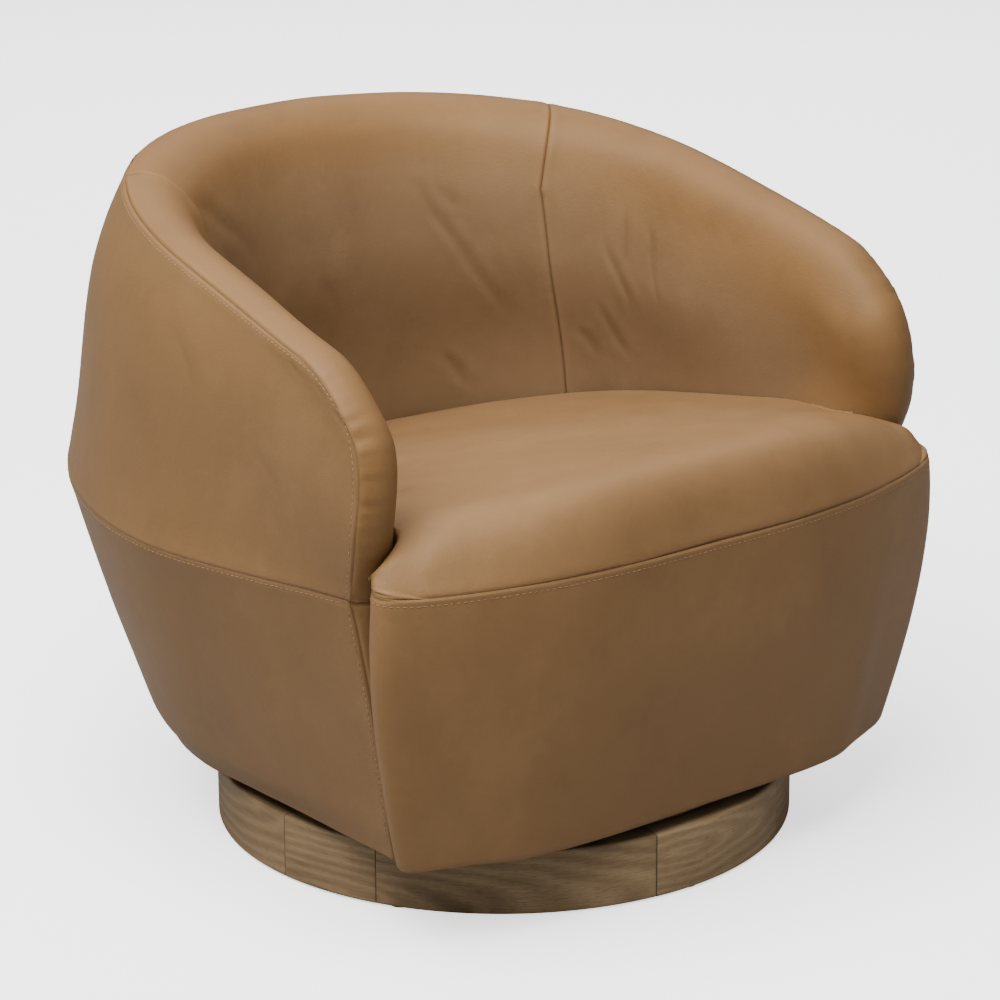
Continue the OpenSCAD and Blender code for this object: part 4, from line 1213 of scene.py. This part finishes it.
def cloth_material(name, colour, scale=900.0):
    m, nt, bs = new_mat(name)
    co = node(nt, "TexCoord").outputs["Object"]
    a = tex_noise(nt, mapped(nt, co, (scale, scale * .12, scale)), 1.0, 2.0)
    b = tex_noise(nt, mapped(nt, co, (scale * .12, scale, scale)), 1.0, 2.0)
    f = math_(nt, "MULTIPLY", a, b)
    nt.links.new(ramp(nt, f, [(.12, tuple(c * .55 for c in colour)), (.4, colour)]), bs.inputs["Base Color"])
    nt.links.new(bump(nt, f, .0004, .6), bs.inputs["Normal"])
    bs.inputs["Roughness"].default_value = .95
    return m


def foam_material(name):
    m, nt, bs = new_mat(name)
    co = node(nt, "TexCoord").outputs["Object"]
    v = nt.nodes.new("ShaderNodeTexVoronoi")
    v.inputs["Scale"].default_value = 500
    nt.links.new(co, v.inputs["Vector"])
    nt.links.new(ramp(nt, v.outputs["Distance"], [(.1, (.55, .50, .36)), (.6, (.80, .75, .58))]), bs.inputs["Base Color"])
    nt.links.new(bump(nt, v.outputs["Distance"], .0008, .6), bs.inputs["Normal"])
    bs.inputs["Roughness"].default_value = .95
    return m


def plastic_material(name, colour):
    m, nt, bs = new_mat(name)
    co = node(nt, "TexCoord").outputs["Object"]
    n = tex_noise(nt, co, 700, 2.0)
    c = tex_noise(nt, co, 30, 2.0)
    nt.links.new(ramp(nt, c, [(.3, tuple(x * .9 for x in colour)), (.7, colour)]), bs.inputs["Base Color"])
    nt.links.new(bump(nt, n, .0001, .4), bs.inputs["Normal"])
    nt.links.new(math_(nt, "ADD", .42, math_(nt, "MULTIPLY", n, .1)), bs.inputs["Roughness"])
    return m


BY_SLOT = {
    "plinth_wood": stave_material(),
    "timber": timber_material("timber_raw", (.56, .40, .24), (.40, .26, .14)),
    "felt": cloth_material("felt_dark", (.05, .045, .04), 1500),
    "steel": metal_material("steel_plate", (.42, .43, .44), .34),
    "zinc_hardware": metal_material("zinc", (.58, .60, .62), .28, 60),
    "bearing_steel": metal_material("ball_steel", (.72, .73, .75), .12, 30),
    "cage_plastic": plastic_material("cage_plastic", (.62, .58, .46)),
    "black_cloth": cloth_material("dust_cloth", (.022, .022, .023), 1100),
    "foam": foam_material("foam"),
    "leather": LEATHER,
}
slot_of = {s["node"]: s["material_slot"] for s in frame["record"]["subparts"]}
for name, ob in frame["nodes"].items():
    ob.data.materials.clear()
    ob.data.materials.append(BY_SLOT[slot_of[name]])

# ---------------------------------------------------------------- floor, light, camera
def stage_material(name, colour, rough=.9):
    m, nt, bs = new_mat(name)
    # paper-white to look at, but a calmer grey in the light that it throws back up
    seen = node(nt, "LightPath").outputs["Is Camera Ray"]
    nt.links.new(mixc(nt, seen, tuple(.38 * c for c in colour), colour), bs.inputs["Base Color"])
    bs.inputs["Emission Color"].default_value = (1, 1, 1, 1)
    nt.links.new(math_(nt, "MULTIPLY", seen, 1.5), bs.inputs["Emission Strength"])
    bs.inputs["Roughness"].default_value = rough
    bs.inputs["Specular IOR Level"].default_value = .1
    return m


def cyclorama():
    """A pale floor that curves up into a wall far behind the chair, turned to the camera."""
    V, F = [], []
    prof = [(-16.0, 0), (10.0, 0)]
    for a in np.linspace(0, 90, 14)[1:]:
        prof.append((10.0 + 3.0 * math.sin(math.radians(a)), 3.0 - 3.0 * math.cos(math.radians(a))))
    prof.append((13.0, 9.0))
    A = math.radians(-39)
    for y, z in prof:
        for x in (-16, 16):
            V.append((x * math.cos(A) - y * math.sin(A), x * math.sin(A) + y * math.cos(A), z - .0005))
    for i in range(len(prof) - 1):
        F.append((2 * i, 2 * i + 1, 2 * i + 3, 2 * i + 2))
    me = bpy.data.meshes.new("backdrop")
    me.from_pydata(V, [], F)
    me.polygons.foreach_set("use_smooth", [True] * len(F))
    o = bpy.data.objects.new("backdrop", me)
    bpy.context.scene.collection.objects.link(o)
    me.materials.append(stage_material("backdrop_white", (.96, .96, .96)))


cyclorama()


def area(name, loc, target, size, power, colour=(1, 1, 1)):
    d = bpy.data.lights.new(name, "AREA")
    d.shape = "RECTANGLE"
    d.size, d.size_y = size
    d.energy = power
    d.color = colour
    o = bpy.data.objects.new(name, d)
    bpy.context.scene.collection.objects.link(o)
    o.location = loc
    o.rotation_euler = (Vector(target) - Vector(loc)).to_track_quat("-Z", "Y").to_euler()
    return o


A = math.radians(-39)
RIGHT = Vector((math.cos(A), math.sin(A), 0))
FWD = Vector((-math.sin(A), math.cos(A), 0))


def place(r, f, z):
    return RIGHT * r + FWD * f + Vector((0, 0, z))


area("key_top", place(-.8, -1.0, 3.2), (0, 0, .3), (3.2, 3.2), 315)
area("fill_left", place(-3.4, .2, 2.8), (0, 0, .45), (2.4, 2.4), 3)
area("fill_right", place(3.2, -.6, 2.2), (0, 0, .35), (2.4, 2.4), 8)
area("floor_wash", place(0, 3.4, 3.6), place(0, 5.2, 0), (7, 2.0), 260)
world = bpy.data.worlds.new("studio")
bpy.context.scene.world = world
world.use_nodes = True
bg = world.node_tree.nodes["Background"]
bg.inputs[0].default_value = (1, 1, 1, 1)
bg.inputs[1].default_value = .35

cam_d = bpy.data.cameras.new("camera")
cam = bpy.data.objects.new("camera", cam_d)
bpy.context.scene.collection.objects.link(cam)
e, rl, D = math.radians(17.8276), math.radians(-.3094), 3.75
back = (FWD * -math.cos(e) + Vector((0, 0, math.sin(e))))
upv = back.cross(RIGHT)
r_ = RIGHT * math.cos(rl) + upv * math.sin(rl)
u_ = RIGHT * -math.sin(rl) + upv * math.cos(rl)
pos = RIGHT * -.0026 + Vector((0, 0, .3308)) + back * D
cam.matrix_world = Matrix(((r_.x, u_.x, back.x, pos.x), (r_.y, u_.y, back.y, pos.y), (r_.z, u_.z, back.z, pos.z), (0, 0, 0, 1)))
cam_d.sensor_width = 36
cam_d.lens = 3650.228 * 36 / 1000
cam_d.clip_start, cam_d.clip_end = .1, 60
bpy.context.scene.camera = cam
